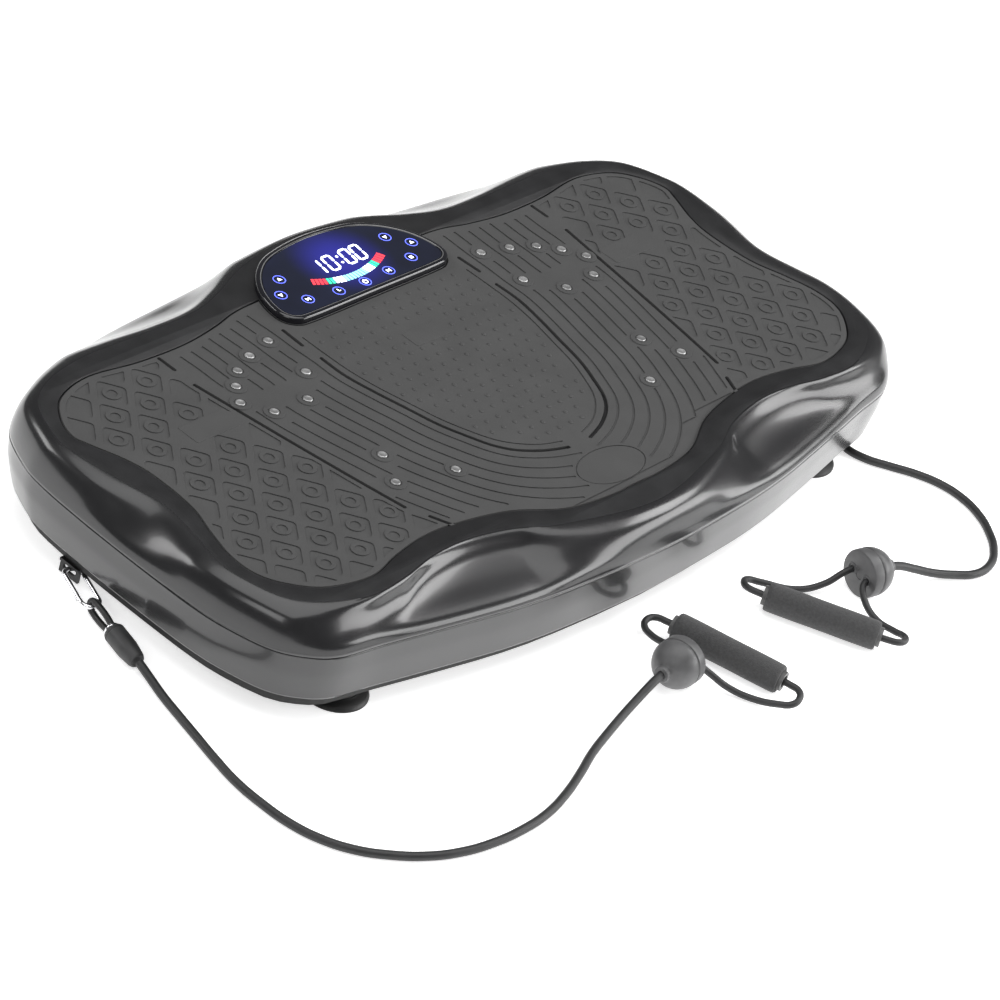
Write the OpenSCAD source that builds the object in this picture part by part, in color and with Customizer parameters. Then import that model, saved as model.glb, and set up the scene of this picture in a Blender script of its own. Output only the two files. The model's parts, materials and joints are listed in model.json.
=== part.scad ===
// Vibration plate: a rocking foot platform on a low base, with two elastic pull
// cords that clip to the base. X is the long way, +Y is the display side, Z is up.
// The origin is on the floor, in the middle of everything that is not cord.

/* [Plate] */
// Distance of the plate's middle behind the origin
plate_y = 66.3; // [60:0.1:75]
// Height of the flat deck above the floor
deck_z = 101; // [98:0.5:104]
// Height of the line where the top shell meets the lower band
parting_z = 69; // [67:0.5:71]
// Height of the lower band's bottom edge
band_bottom_z = 25; // [24:0.5:27]
// Wall of the two moulded shells
shell_wall = 3; // [2.5:0.1:3.5]

/* [Mat] */
// Thickness of the rubber foot mat
mat_t = 2.6; // [2:0.1:3]
// Gap between the mat and its recess
mat_gap = 1.2; // [0.8:0.1:1.6]
// Width of the slots in the mat
slot_w = 3.2; // [2.4:0.1:4]
// Diameter of a magnet stud
stud_d = 8; // [7:0.1:9]

/* [Display] */
// How far the display stands above the deck
display_h = 5.5; // [4.5:0.1:6.5]

/* [Base] */
// Height of the base pan's underside
pan_z = 14; // [13.5:0.1:14.5]
// Wall and floor of the base pan
pan_t = 3; // [2.5:0.1:3.5]
// Diameter of a suction foot
foot_d = 54; // [48:1:55]
// Foot centre, to the side of the middle
foot_x = 285; // [275:1:288]
// Foot centre, in front of or behind the plate's middle
foot_y = 145; // [120:1:146]

/* [Drive] */
// Radius of the fixed pivot shaft
pivot_r = 8; // [7.5:0.1:8.5]
// Distance of the crankshaft from the pivot
crank_x = 115; // [114:0.5:116]
// Throw of the eccentrics
throw = 2; // [1.6:0.1:2.1]
// Radius of the driven pulley
driven_r = 21.5; // [20:0.5:22]
// Radius of the motor pulley
motor_pulley_r = 8.6; // [8:0.1:8.8]
// Radial clearance of a running fit
run_fit = 0.05; // [0.02:0.01:0.08]

/* [Pull cords] */
// Diameter of the long cords
cord_d = 7; // [6:0.5:8]
// Diameter of the cord loop through a grip
loop_d = 5.5; // [5:0.1:6]
// Diameter of a ball stopper
ball_d = 40; // [36:1:40]
// Diameter of a foam grip
grip_d = 24; // [22:0.5:24]
// Length of a foam grip
grip_l = 92; // [86:1:96]

/* [Hidden] */
$fn = 48;

// ---- outlines, measured from the plate's middle ----

// The crease where the flat rim turns down, and the parting line below it: right half,
// from the middle of the front edge to the middle of the back edge. x and y of each.
EDGE = [
    [[0, -195], [0, -215]], [[91, -177], [100, -211]], [[134, -159], [158, -205]],
    [[175, -150], [209, -196]], [[213, -150], [250, -188]], [[252, -157], [290, -180]],
    [[290, -159], [329, -173]], [[325, -147], [351, -160]], [[350, -127], [368, -139]],
    [[361, -97], [379, -103]], [[363, -70], [383, -74]], [[356, -42], [384, -40]],
    [[350, -2], [384, 1]], [[358, 40], [383, 46]], [[365, 83], [380, 90]],
    [[361, 108], [374, 116]], [[345, 140], [355, 152]], [[315, 158], [324, 171]],
    [[274, 166], [286, 186]], [[234, 166], [245, 196]], [[190, 165], [200, 204]],
    [[146, 167], [150, 209]], [[113, 176], [105, 212]], [[67, 193], [58, 214]],
    [[0, 202], [0, 215]]
];
// The mat's right half, from the front middle to under the display
MAT = [
    [0, -170], [32, -170], [76, -163], [119, -142], [168, -131], [203, -129], [238, -134],
    [273, -142], [311, -134], [333, -118], [347, -97], [349, -72], [342, -44], [332, -13],
    [330, 29], [335, 55], [346, 82], [350, 97], [342, 117], [323, 136], [287, 145],
    [238, 139], [189, 138], [150, 143], [124, 149], [100, 151], [50, 151]
];
// Slots in the mat's right half: the zone boundary, and the U round the middle zone
ZONE_SLOTS = [
    [[220, 135], [220, 118]],
    [[220, 96], [214, 57], [207, 12], [197, -48], [188, -97]],
    [[179, -115], [171, -132]],
    [[104, 113], [105, 91]],
    [[104, 71], [104, 46], [99, 19], [92, -9], [85, -37], [76, -59], [66, -79], [53, -93],
     [34, -104], [13, -111]]
];
// Magnet studs of the right half
STUDS = [
    [126, 108.5], [154, 101.5], [177, 92], [193, 78], [205.5, 61], [129, 64], [154, 38],
    [190, 39.5], [155, -42.5], [171.5, -72], [117, -85]
];
// The display's right half, from the front middle to the back middle
BEZEL = [
    [0, 110], [70, 110], [88, 113], [96, 124], [94, 143], [85, 162], [68, 179], [44, 190],
    [0, 195]
];

// One Catmull-Rom step between b and c
function knit(a, b, c, d, t) =
    0.5 * (2 * b + (c - a) * t + (2 * a - 5 * b + 4 * c - d) * t * t
    + (3 * b - a - 3 * c + d) * t * t * t);
// Closed smooth loop through p, with n points to each stretch
function loop_spline(p, n) = let(k = len(p))
    [for (i = [0 : k - 1], j = [0 : n - 1])
        knit(p[(i + k - 1) % k], p[i], p[(i + 1) % k], p[(i + 2) % k], j / n)];
// Open smooth line through p
function line_spline(p, n) = let(k = len(p) - 1)
    [for (i = [0 : k - 1], j = [0 : n - 1])
        knit(p[max(i - 1, 0)], p[i], p[i + 1], p[min(i + 2, k)], j / n), p[k]];
// Adds the left half to a right half that starts and ends on the middle line
function both_sides(h) = concat(h, [for (i = [len(h) - 2 : -1 : 1]) [-h[i][0], h[i][1]]]);
// The same for a right half that only starts on the middle line
function both_sides_open(h) = concat(h, [for (i = [len(h) - 1 : -1 : 1]) [-h[i][0], h[i][1]]]);
function unit(v) = v / norm(v);
// Moves a closed outline inwards by d
function inset(p, d) = let(k = len(p))
    [for (i = [0 : k - 1]) let(t = unit(p[(i + 1) % k] - p[(i + k - 1) % k]))
        p[i] + d * [-t[1], t[0]]];
function lift(p, z) = [for (q = p) [q[0], q[1], z]];

crease = loop_spline(both_sides([for (e = EDGE) e[0]]), 2);
parting = loop_spline(both_sides([for (e = EDGE) e[1]]), 2);
mat_outline = loop_spline(both_sides_open(MAT), 3);
bezel_outline = loop_spline(both_sides(BEZEL), 2);

// Skin between two end rings: rings all have the same number of points
module loft(rings) {
    n = len(rings[0]);
    m = len(rings);
    polyhedron(
        [for (r = rings) for (q = r) q],
        concat(
            [[for (i = [0 : n - 1]) i]],
            [for (r = [0 : m - 2], i = [0 : n - 1])
                [r * n + i, (r + 1) * n + i, (r + 1) * n + (i + 1) % n]],
            [for (r = [0 : m - 2], i = [0 : n - 1])
                [r * n + i, (r + 1) * n + (i + 1) % n, r * n + (i + 1) % n]],
            [[for (i = [n - 1 : -1 : 0]) (m - 1) * n + i]]
        )
    );
}

// Skin round a closed band: the last ring joins the first
module ring_loft(rings) {
    n = len(rings[0]);
    m = len(rings);
    polyhedron(
        [for (r = rings) for (q = r) q],
        concat(
            [for (r = [0 : m - 1], i = [0 : n - 1])
                [r * n + i, ((r + 1) % m) * n + i, ((r + 1) % m) * n + (i + 1) % n]],
            [for (r = [0 : m - 1], i = [0 : n - 1])
                [r * n + i, ((r + 1) % m) * n + (i + 1) % n, r * n + (i + 1) % n]]
        )
    );
}

// ---- top shell ----

// The flank from the crease out to the parting line, as shares of the run and the drop:
// a narrow flank rounds over, a wide one is scooped out
NARROW = [[0, 0], [0.3, 0.06], [0.6, 0.2], [0.82, 0.45], [0.95, 0.75], [1, 1]];
WIDE = [[0, 0], [0.07, 0.08], [0.22, 0.33], [0.5, 0.56], [0.88, 0.78], [1, 1]];
narrow_run = 24;
wide_run = 48;
function scoop(w) = min(1, max(0, (w - narrow_run) / (wide_run - narrow_run)));
function flank(k, c, p, top, bottom) =
    [for (i = [0 : len(c) - 1])
        let(s = scoop(norm(p[i] - c[i])), g = (1 - s) * NARROW[k] + s * WIDE[k],
            q = c[i] + (p[i] - c[i]) * g[0])
        [q[0], q[1], top + (bottom - top) * g[1]]];
flank_steps = len(NARROW);
pocket_z = deck_z - mat_t - 0.2;
deck_under_z = pocket_z - shell_wall;

module top_shell() {
    c_in = inset(crease, 6);
    p_in = inset(parting, shell_wall);
    color("#1c1c1e") translate([0, plate_y, 0]) union() {
        // tapered screw posts under the deck
        at_tabs() hull() {
            translate([0, 0, parting_z]) cylinder(r = 6, h = 1, $fn = 32);
            translate([0, 0, deck_under_z]) cylinder(r = 8, h = 1, $fn = 32);
        }
        difference() {
            loft(concat(
                [for (k = [0 : flank_steps - 1])
                    flank(k, c_in, p_in, deck_under_z, parting_z + 2)],
                [lift(p_in, parting_z), lift(parting, parting_z)],
                [for (k = [flank_steps - 1 : -1 : 0])
                    flank(k, crease, parting, deck_z, parting_z + 3)]
            ));
            translate([0, 0, pocket_z]) linear_extrude(10) difference() {
                polygon(inset(mat_outline, -mat_gap));
                polygon(inset(bezel_outline, -0.3));
            }
        }
    }
}

// ---- lower band ----

// The band leans in towards its bottom edge, least of all at the front
lean_ends = 0.978;
lean_front = 0.985;
lean_back = 0.958;
function lean(p, share) =
    [for (q = p) let(lean_y = q[1] < 0 ? lean_front : lean_back)
        [q[0] * (1 - (1 - lean_ends) * share), q[1] * (1 - (1 - lean_y) * share)]];
band_low = lean(parting, 1);

TABS = [[345, -92], [348, 95], [110, -157], [110, 165]];
tab_r = 7;
tab_t = 3;
inlet_x = -74;
switch_x = -28;
panel_y = 213;
panel_z = 47;
panel_h = 28;

// Puts its children at every screw tab, on both sides
module at_tabs() {
    for (p = TABS, side = [-1, 1]) translate([side * p[0], p[1], 0]) children();
}

module lower_band() {
    share = [0, 0.22, 1];
    level = [parting_z, parting_z * 0.6 + band_bottom_z * 0.4, band_bottom_z];
    color("#5a5a5c") translate([0, plate_y, 0]) difference() {
        union() {
            ring_loft(concat(
                [for (k = [0 : 2]) lift(inset(lean(parting, share[k]), shell_wall), level[k])],
                [for (k = [2 : -1 : 0]) lift(lean(parting, share[k]), level[k])]
            ));
            translate([0, 0, parting_z - tab_t]) linear_extrude(tab_t) intersection() {
                polygon(inset(parting, shell_wall / 2));
                for (p = TABS, side = [-1, 1]) hull() {
                    translate([side * p[0], p[1]]) circle(tab_r);
                    translate([side * p[0] * 1.1, p[1] * 1.3]) circle(tab_r);
                }
            }
        }
        translate([inlet_x - 25, 180, panel_z - panel_h / 2]) cube([50, 40, panel_h]);
        translate([switch_x - 12, 180, panel_z - panel_h / 2]) cube([24, 40, panel_h]);
    }
}

band_screw_r = 2;
module band_screws() {
    color("silver") translate([0, plate_y, 0]) at_tabs() {
        translate([0, 0, parting_z - tab_t - 2.5]) cylinder(r = 4, h = 2.5);
        translate([0, 0, parting_z - tab_t]) cylinder(r = band_screw_r, h = 14);
    }
}

// ---- platform frame ----

pivot_z = 60;
crank_z = 42;
small_end_z = 80;
frame_top = deck_under_z;
plate_t = 3;
tube_y = 84;
tube_w = 40;
tube_h = 20;
tube_bottom = frame_top - plate_t - tube_h;
bush_r = pivot_r + 3;
hub_w = 16;
pin_r = 4;
lug_y = 39;
lug_t = 10;
rod_y = 52;
rod_t = 12;

// A cylinder along Y, from y0 to y1
module along_y(r, y0, y1) {
    translate([0, y0, 0]) rotate([-90, 0, 0]) cylinder(r = r, h = y1 - y0);
}

module support_frame() {
    color("#3a3d40") translate([0, plate_y, 0]) difference() {
        union() {
            translate([-300, -115, frame_top - plate_t]) cube([600, 230, plate_t]);
            for (side = [-1, 1]) {
                translate([-290, side * tube_y - tube_w / 2, tube_bottom])
                    cube([580, tube_w, tube_h]);
                translate([-18, side * tube_y - hub_w / 2, pivot_z])
                    cube([36, hub_w, tube_bottom - pivot_z + 1]);
                translate([0, side * tube_y - hub_w / 2, pivot_z]) along_y(18, 0, hub_w);
                translate([crank_x - 9, side * lug_y - lug_t / 2, small_end_z])
                    cube([18, lug_t, frame_top - plate_t - small_end_z + 1]);
                translate([crank_x, side * lug_y - lug_t / 2, small_end_z])
                    along_y(9, 0, lug_t);
            }
        }
        for (side = [-1, 1]) {
            translate([-291, side * tube_y - tube_w / 2 + 2, tube_bottom + 2])
                cube([582, tube_w - 4, tube_h - 4]);
            translate([0, side * tube_y - hub_w / 2 - 1, pivot_z]) along_y(bush_r, 0, hub_w + 2);
            translate([crank_x, side * lug_y - lug_t / 2 - 1, small_end_z])
                along_y(pin_r, 0, lug_t + 2);
        }
    }
}

module pivot_bushes() {
    color("#b08d57") translate([0, plate_y, pivot_z]) for (side = [-1, 1])
        translate([0, side * tube_y, 0]) difference() {
            along_y(bush_r, -hub_w / 2, hub_w / 2);
            along_y(pivot_r + run_fit, -hub_w, hub_w);
        }
}

module crank_pins() {
    color("silver") translate([crank_x, plate_y, small_end_z]) for (turn = [0, 180])
        rotate([0, 0, turn]) {
            along_y(pin_r, 33, rod_y + rod_t / 2 + 0.5);
            along_y(6.5, rod_y + rod_t / 2 + 0.5, rod_y + rod_t / 2 + 3);
        }
}

module frame_screws() {
    color("silver") translate([0, plate_y, 0]) for (x = [-250, -90, 90, 250], y = [-50, 50])
        translate([x, y, 0]) {
            translate([0, 0, frame_top - plate_t - 3]) cylinder(r = 5, h = 3);
            translate([0, 0, frame_top - plate_t]) cylinder(r = 2.2, h = plate_t + 2);
        }
}

// ---- mat, studs and display ----

// A strip of width w along a line of points, with round ends
module strip(path, w) {
    k = len(path) - 1;
    side = [for (i = [0 : k]) let(t = unit(path[min(i + 1, k)] - path[max(i - 1, 0)]))
        w / 2 * [-t[1], t[0]]];
    polygon(concat(
        [for (i = [0 : k]) path[i] + side[i]],
        [for (i = [k : -1 : 0]) path[i] - side[i]]
    ));
    for (p = [path[0], path[k]]) translate(p) circle(w / 2, $fn = 16);
}

module foot_mat() {
    color("#4b4b4b") translate([0, plate_y, pocket_z]) linear_extrude(mat_t) difference() {
        polygon(mat_outline);
        polygon(inset(bezel_outline, -mat_gap));
        for (turn = [0, 1], path = ZONE_SLOTS) mirror([turn, 0])
            strip(line_spline(path, len(path) > 2 ? 3 : 1), slot_w);
    }
}

module magnet_studs() {
    color("#9a9a9a") translate([0, plate_y, pocket_z + mat_t])
        for (p = STUDS, side = [-1, 1]) translate([side * p[0], p[1], 0])
            cylinder(r1 = stud_d / 2, r2 = stud_d / 2 - 0.6, h = 1.4);
}

glass_in = 5;
ledge_in = 8;
glass_t = 1.6;
module display_bezel() {
    color("#0c0c10") translate([0, plate_y, deck_z]) difference() {
        linear_extrude(display_h) polygon(bezel_outline);
        translate([0, 0, display_h - glass_t - 0.4]) linear_extrude(5)
            polygon(inset(bezel_outline, glass_in));
        translate([0, 0, -1]) linear_extrude(10) polygon(inset(bezel_outline, ledge_in));
    }
}

module display_glass() {
    color("#101a3c") translate([0, plate_y, deck_z + display_h - glass_t - 0.4])
        linear_extrude(glass_t) polygon(inset(bezel_outline, glass_in + 0.2));
}

module display_board() {
    color("#1d5b34") translate([0, plate_y, deck_z]) linear_extrude(1.6)
        polygon(inset(bezel_outline, ledge_in + 0.6));
}

// ---- power inlet and switch in the back of the band ----

module power_inlet() {
    color("#151515") translate([inlet_x, plate_y + panel_y, panel_z]) {
        difference() {
            translate([-25, -3, -panel_h / 2]) cube([50, 3, panel_h]);
            translate([-12.5, -4, -9]) cube([25, 6, 18]);
        }
        difference() {
            translate([-15, -25, -11.5]) cube([30, 22, 23]);
            translate([-12.5, -19, -9]) cube([25, 30, 18]);
        }
        for (x = [-7, 0, 7]) translate([x - 1, -19.5, x == 0 ? 1 : -3]) cube([2, 15, 4]);
    }
}

rocker_r = 8.6;
rocker_pin_r = 1.2;
rocker_y = panel_y - 5;
module switch_housing() {
    color("#151515") translate([switch_x, plate_y, panel_z]) difference() {
        union() {
            translate([-12, panel_y - 3, -panel_h / 2]) cube([24, 3, panel_h]);
            translate([-9, panel_y - 24, -12]) cube([18, 21, 24]);
        }
        translate([-6.5, rocker_y - 12, -10]) cube([13, 20, 20]);
        translate([-8, rocker_y, 0]) rotate([0, 90, 0]) cylinder(r = rocker_pin_r, h = 16);
    }
}

module switch_rocker() {
    color("#7a1512") translate([switch_x, plate_y + rocker_y, panel_z]) {
        rotate([0, 90, 0]) translate([0, 0, -6]) difference() {
            cylinder(r = rocker_r, h = 12);
            translate([-20, -rocker_r - 1, -1]) cube([40, rocker_r - 1, 14]);
            translate([-20, 5, -1]) cube([40, 10, 14]);
        }
        rotate([0, 90, 0]) translate([0, 0, -7.6]) cylinder(r = rocker_pin_r - run_fit, h = 15.2);
    }
}

// ---- base ----

pan_out = inset(lean(parting, 1), 8);
pan_wall_h = 19;

module base_pan() {
    color("#262626") translate([0, plate_y, pan_z]) {
        difference() {
            linear_extrude(pan_wall_h) polygon(pan_out);
            translate([0, 0, pan_t]) linear_extrude(pan_wall_h) polygon(inset(pan_out, pan_t));
        }
        // round stops moulded under both ends
        for (side = [-1, 1]) translate([side * 350, -60, -4]) cylinder(r = 6, h = 4.5);
    }
}

// Puts its children at the four feet
module at_feet() {
    for (x = [-foot_x, foot_x], y = [-foot_y, foot_y]) translate([x, plate_y + y, 0]) children();
}

module suction_feet() {
    r = foot_d / 2;
    color("#101010") at_feet() rotate_extrude() polygon([
        [0, 6], [10, 5.5], [17, 3.2], [r - 4.5, 0], [r, 0], [r, 1.6], [r - 3, 4.4], [16, 7.5],
        [12, 9.5], [12, pan_z], [0, pan_z]
    ]);
}

module foot_screws() {
    color("silver") at_feet() {
        translate([0, 0, pan_z + pan_t]) cylinder(r = 5, h = 3);
        translate([0, 0, 8.5]) cylinder(r = 2.5, h = pan_z + pan_t - 8.5);
    }
}

// The cord anchor: a plate under the pan with a turned-down ear and a long eye
anchor_x = 366;
anchor_y = 57;
ear_t = 2.5;
ear_w = 20;
eye_z = 8.6;
module anchor_bracket(side) {
    color("#141414") translate([side * anchor_x, plate_y + anchor_y, 0]) {
        translate([side > 0 ? -46 : ear_t / 2 - 4, -ear_w / 2, pan_z - ear_t])
            cube([50 - ear_t / 2, ear_w, ear_t]);
        difference() {
            translate([-ear_t / 2, -ear_w / 2, 1.2]) cube([ear_t, ear_w, pan_z - 1.2]);
            translate([-5, 0, eye_z]) rotate([0, 90, 0]) linear_extrude(10) hull()
                for (y = [-3.2, 3.2]) translate([0, y]) circle(r = 3.6);
        }
    }
}
module anchor_bracket_left() { anchor_bracket(-1); }
module anchor_bracket_right() { anchor_bracket(1); }

module anchor_screws() {
    color("silver") for (side = [-1, 1], y = [-7, 7])
        translate([side * (anchor_x - 34), plate_y + anchor_y + y, 0]) {
            translate([0, 0, pan_z - ear_t - 2]) cylinder(r = 4, h = 2);
            translate([0, 0, pan_z - ear_t]) cylinder(r = 2, h = 9);
        }
}

floor_z = pan_z + pan_t;
bracket_y = 65;
module pivot_brackets() {
    color("#55585c") translate([0, plate_y, 0]) for (side = [-1, 1]) difference() {
        union() {
            translate([-25, side * bracket_y - 3, floor_z]) cube([50, 6, pivot_z - floor_z]);
            translate([0, side * bracket_y, pivot_z]) along_y(11, -3, 3);
            translate([-25, side * bracket_y - (side > 0 ? 22 : -3), floor_z]) cube([50, 19, 4]);
        }
        translate([0, side * bracket_y, pivot_z]) along_y(pivot_r, -5, 5);
    }
}

module pivot_shaft() {
    color("silver") translate([0, plate_y, pivot_z]) along_y(pivot_r, -94, 94);
}

block_y = 90;
block_w = 16;
bearing_r = 14;
module pillow_blocks() {
    color("#4d5054") translate([crank_x, plate_y, 0]) for (side = [-1, 1]) difference() {
        union() {
            translate([-20, side * block_y - block_w / 2, floor_z])
                cube([40, block_w, crank_z - floor_z]);
            translate([0, side * block_y, crank_z]) along_y(19, -block_w / 2, block_w / 2);
            translate([-34, side * block_y - block_w / 2, floor_z]) cube([68, block_w, 7]);
        }
        translate([0, side * block_y, crank_z]) along_y(bearing_r, -block_w, block_w);
    }
}

module crank_bearings() {
    color("silver") translate([crank_x, plate_y, crank_z]) for (side = [-1, 1])
        translate([0, side * block_y, 0]) difference() {
            along_y(bearing_r, -6, 6);
            along_y(pivot_r + run_fit, -7, 7);
        }
}

// ---- drive ----

motor_x = 235;
motor_z = 50;
motor_r = 28;
rotor_r = 4;
belt_y = 68;

module crankshaft() {
    color("silver") translate([crank_x, plate_y, crank_z]) along_y(pivot_r, -97, 97);
}

ecc_r = 12;
module eccentrics() {
    color("#8a8d90") translate([crank_x, plate_y, crank_z]) for (side = [-1, 1])
        translate([0, side * rod_y, 0]) difference() {
            translate([throw, 0, 0]) along_y(ecc_r, -rod_t / 2, rod_t / 2);
            along_y(pivot_r, -rod_t, rod_t);
        }
}

module driven_pulley() {
    color("#202020") translate([crank_x, plate_y + belt_y, crank_z]) difference() {
        along_y(driven_r, -5.5, 5.5);
        along_y(pivot_r, -7, 7);
        for (a = [0 : 60 : 300]) rotate([0, a, 0]) translate([14.5, 0, 0]) along_y(3.6, -7, 7);
    }
}

big_end_r = ecc_r + 2 * throw + 0.4;
module con_rod(side) {
    color("#6f7275") translate([crank_x, plate_y + side * rod_y, 0]) difference() {
        union() {
            translate([0, 0, crank_z]) along_y(big_end_r + 4.6, -rod_t / 2, rod_t / 2);
            translate([0, 0, small_end_z]) along_y(9, -rod_t / 2, rod_t / 2);
            translate([-6, -rod_t / 2, crank_z + big_end_r]) cube([12, rod_t, 18]);
        }
        translate([0, 0, crank_z]) along_y(big_end_r, -rod_t, rod_t);
        translate([0, 0, small_end_z]) along_y(pin_r + run_fit, -rod_t, rod_t);
    }
}
module con_rod_front() { con_rod(-1); }
module con_rod_rear() { con_rod(1); }

module motor_can() {
    color("#2b2d30") translate([motor_x, plate_y, motor_z]) difference() {
        along_y(motor_r, -58, 50);
        along_y(motor_r - 3, -54, 46);
        along_y(rotor_r + run_fit, -70, 70);
    }
}

module motor_bracket() {
    color("#55585c") translate([motor_x, plate_y, 0]) difference() {
        translate([-34, -48, floor_z]) cube([68, 88, 26]);
        translate([0, 0, motor_z]) along_y(motor_r, -60, 60);
    }
}

module motor_rotor() {
    color("#b87333") translate([motor_x, plate_y, motor_z]) {
        along_y(rotor_r, -57, 76);
        along_y(20, -42, 34);
    }
}

module motor_pulley() {
    color("#202020") translate([motor_x, plate_y + belt_y, motor_z]) difference() {
        along_y(motor_pulley_r, -5.5, 5.5);
        along_y(rotor_r, -7, 7);
    }
}

belt_gap = 0.3;
belt_t = 2.4;
module belt_shape(extra) {
    hull() {
        translate([crank_x, crank_z]) circle(driven_r + extra, $fn = 96);
        translate([motor_x, motor_z]) circle(motor_pulley_r + extra, $fn = 64);
    }
}
module drive_belt() {
    color("#181818") translate([0, plate_y + belt_y + 4, 0]) rotate([90, 0, 0])
        linear_extrude(8) difference() {
            belt_shape(belt_gap + belt_t);
            belt_shape(belt_gap);
        }
}

module power_board() {
    color("#1d5b34") translate([-215, plate_y - 30, floor_z]) {
        for (x = [-54, 54], y = [-36, 36]) translate([x, y, 0]) cylinder(r = 3, h = 8);
        translate([-62, -42, 8]) cube([124, 84, 1.6]);
        translate([-50, -30, 9.6]) cube([36, 30, 26]);
        for (x = [2, 24]) translate([x, -18, 9.6]) cylinder(r = 9, h = 28);
        translate([-20, 12, 9.6]) cube([60, 20, 18]);
    }
}

module speaker() {
    color("#1a1a1a") translate([-110, plate_y + 20, floor_z]) {
        cylinder(r = 16, h = 12);
        translate([0, 0, 12]) cylinder(r1 = 16, r2 = 28, h = 10);
        translate([0, 0, 22]) cylinder(r = 31, h = 3);
    }
}

// ---- pull cords ----

// The carabiner hook: a long wire loop in its own XY plane, its first bend round the
// origin. The gate is the far side of the loop and swings in.
hook_l = 46;
hook_r = 7.5;
wire_r = 2;
gate_from = 13;
gate_to = 35;
gate_pin_r = 0.8;
module wire_x(x0, x1, y) {
    translate([x0, y, 0]) rotate([0, 90, 0]) cylinder(r = wire_r, h = x1 - x0, $fn = 24);
}
module hook_body() {
    difference() {
        union() {
            for (end = [0, 1]) translate([hook_r + end * (hook_l - 2 * hook_r), 0, 0])
                rotate([0, 0, end ? -90 : 90]) rotate_extrude(angle = 180, $fn = 48)
                    translate([hook_r, 0]) circle(wire_r, $fn = 24);
            wire_x(hook_r, hook_l - hook_r, -hook_r);
            wire_x(hook_r, gate_from - 0.4, hook_r);
            wire_x(gate_to - 3.2, hook_l - hook_r, hook_r);
        }
        // the fork that holds the gate's hinge
        translate([gate_to - 8, hook_r - 4, -1]) cube([10.5, 8, 2]);
    }
    translate([gate_to, hook_r, -wire_r + 0.1]) cylinder(r = gate_pin_r, h = 2 * wire_r - 0.2, $fn = 24);
}
module hook_gate() {
    difference() {
        union() {
            wire_x(gate_from, gate_to - 3.6, hook_r);
            translate([gate_to - 6, hook_r - 1.6, -0.7]) cube([6, 3.2, 1.4]);
            translate([gate_to, hook_r, -0.7]) cylinder(r = 1.6, h = 1.4, $fn = 24);
        }
        translate([gate_to, hook_r, -2]) cylinder(r = gate_pin_r + run_fit, h = 4, $fn = 24);
    }
}
// Each hook lies level, from the eye of its anchor towards the front
HOOK_TURN = [-112, -80];
module at_hook(i) {
    translate([(i ? 1 : -1) * anchor_x, plate_y + anchor_y, eye_z])
        rotate([0, 0, HOOK_TURN[i]]) mirror([0, i ? 0 : 1, 0]) children();
}
module carabiner_left() { color("#d0d0d4") at_hook(0) hook_body(); }
module carabiner_right() { color("#d0d0d4") at_hook(1) hook_body(); }
module carabiner_gate_left() { color("#d0d0d4") at_hook(0) hook_gate(); }
module carabiner_gate_right() { color("#d0d0d4") at_hook(1) hook_gate(); }

// The rubber eye: an upright loop through the hook, in line with the ferrule
EYE_TURN = [-104.6, -84];
eye_cord_r = 2.8;
eye_bend = wire_r + eye_cord_r + 0.15;
eye_l = 30;
ferrule_r = 8.4;
ferrule_l = 36;
function hook_end(i) = let(a = HOOK_TURN[i], d = hook_l)
    [(i ? 1 : -1) * anchor_x + d * cos(a), plate_y + anchor_y + d * sin(a), eye_z];
module at_eye(i) {
    translate(hook_end(i)) rotate([0, 0, EYE_TURN[i]]) children();
}
module cord_eye() {
    rotate([90, 0, 0]) {
        rotate([0, 0, 90]) rotate_extrude(angle = 180) translate([eye_bend, 0]) circle(eye_cord_r, $fn = 24);
        for (y = [-eye_bend, eye_bend]) translate([0, y, 0]) rotate([0, 90, 0])
            cylinder(r = eye_cord_r, h = eye_l, $fn = 24);
    }
}
module ferrule() {
    translate([eye_l, 0, 0]) rotate([0, 90, 0]) rotate_extrude() polygon([
        [0, 0], [ferrule_r - 1.6, 0], [ferrule_r - 0.4, 0.6], [ferrule_r, 2], [ferrule_r, 20],
        [ferrule_r - 1.6, ferrule_l - 2], [ferrule_r - 3, ferrule_l], [0, ferrule_l]
    ]);
}
module cord_eye_left() { color("#161616") at_eye(0) cord_eye(); }
module cord_eye_right() { color("#161616") at_eye(1) cord_eye(); }
module ferrule_left() { color("#3a3a3a") at_eye(0) ferrule(); }
module ferrule_right() { color("#3a3a3a") at_eye(1) ferrule(); }

// A round tube through the points of a route
module tube(route, r, sides) {
    k = len(route) - 1;
    rings = [for (i = [0 : k])
        let(t = unit(route[min(i + 1, k)] - route[max(i - 1, 0)]),
            u = unit(cross([0, 0, 1], t)), v = cross(t, u))
        [for (j = [0 : sides - 1]) let(a = 360 * j / sides)
            route[i] + r * (cos(a) * u + sin(a) * v)]];
    loft(rings);
}

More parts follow.
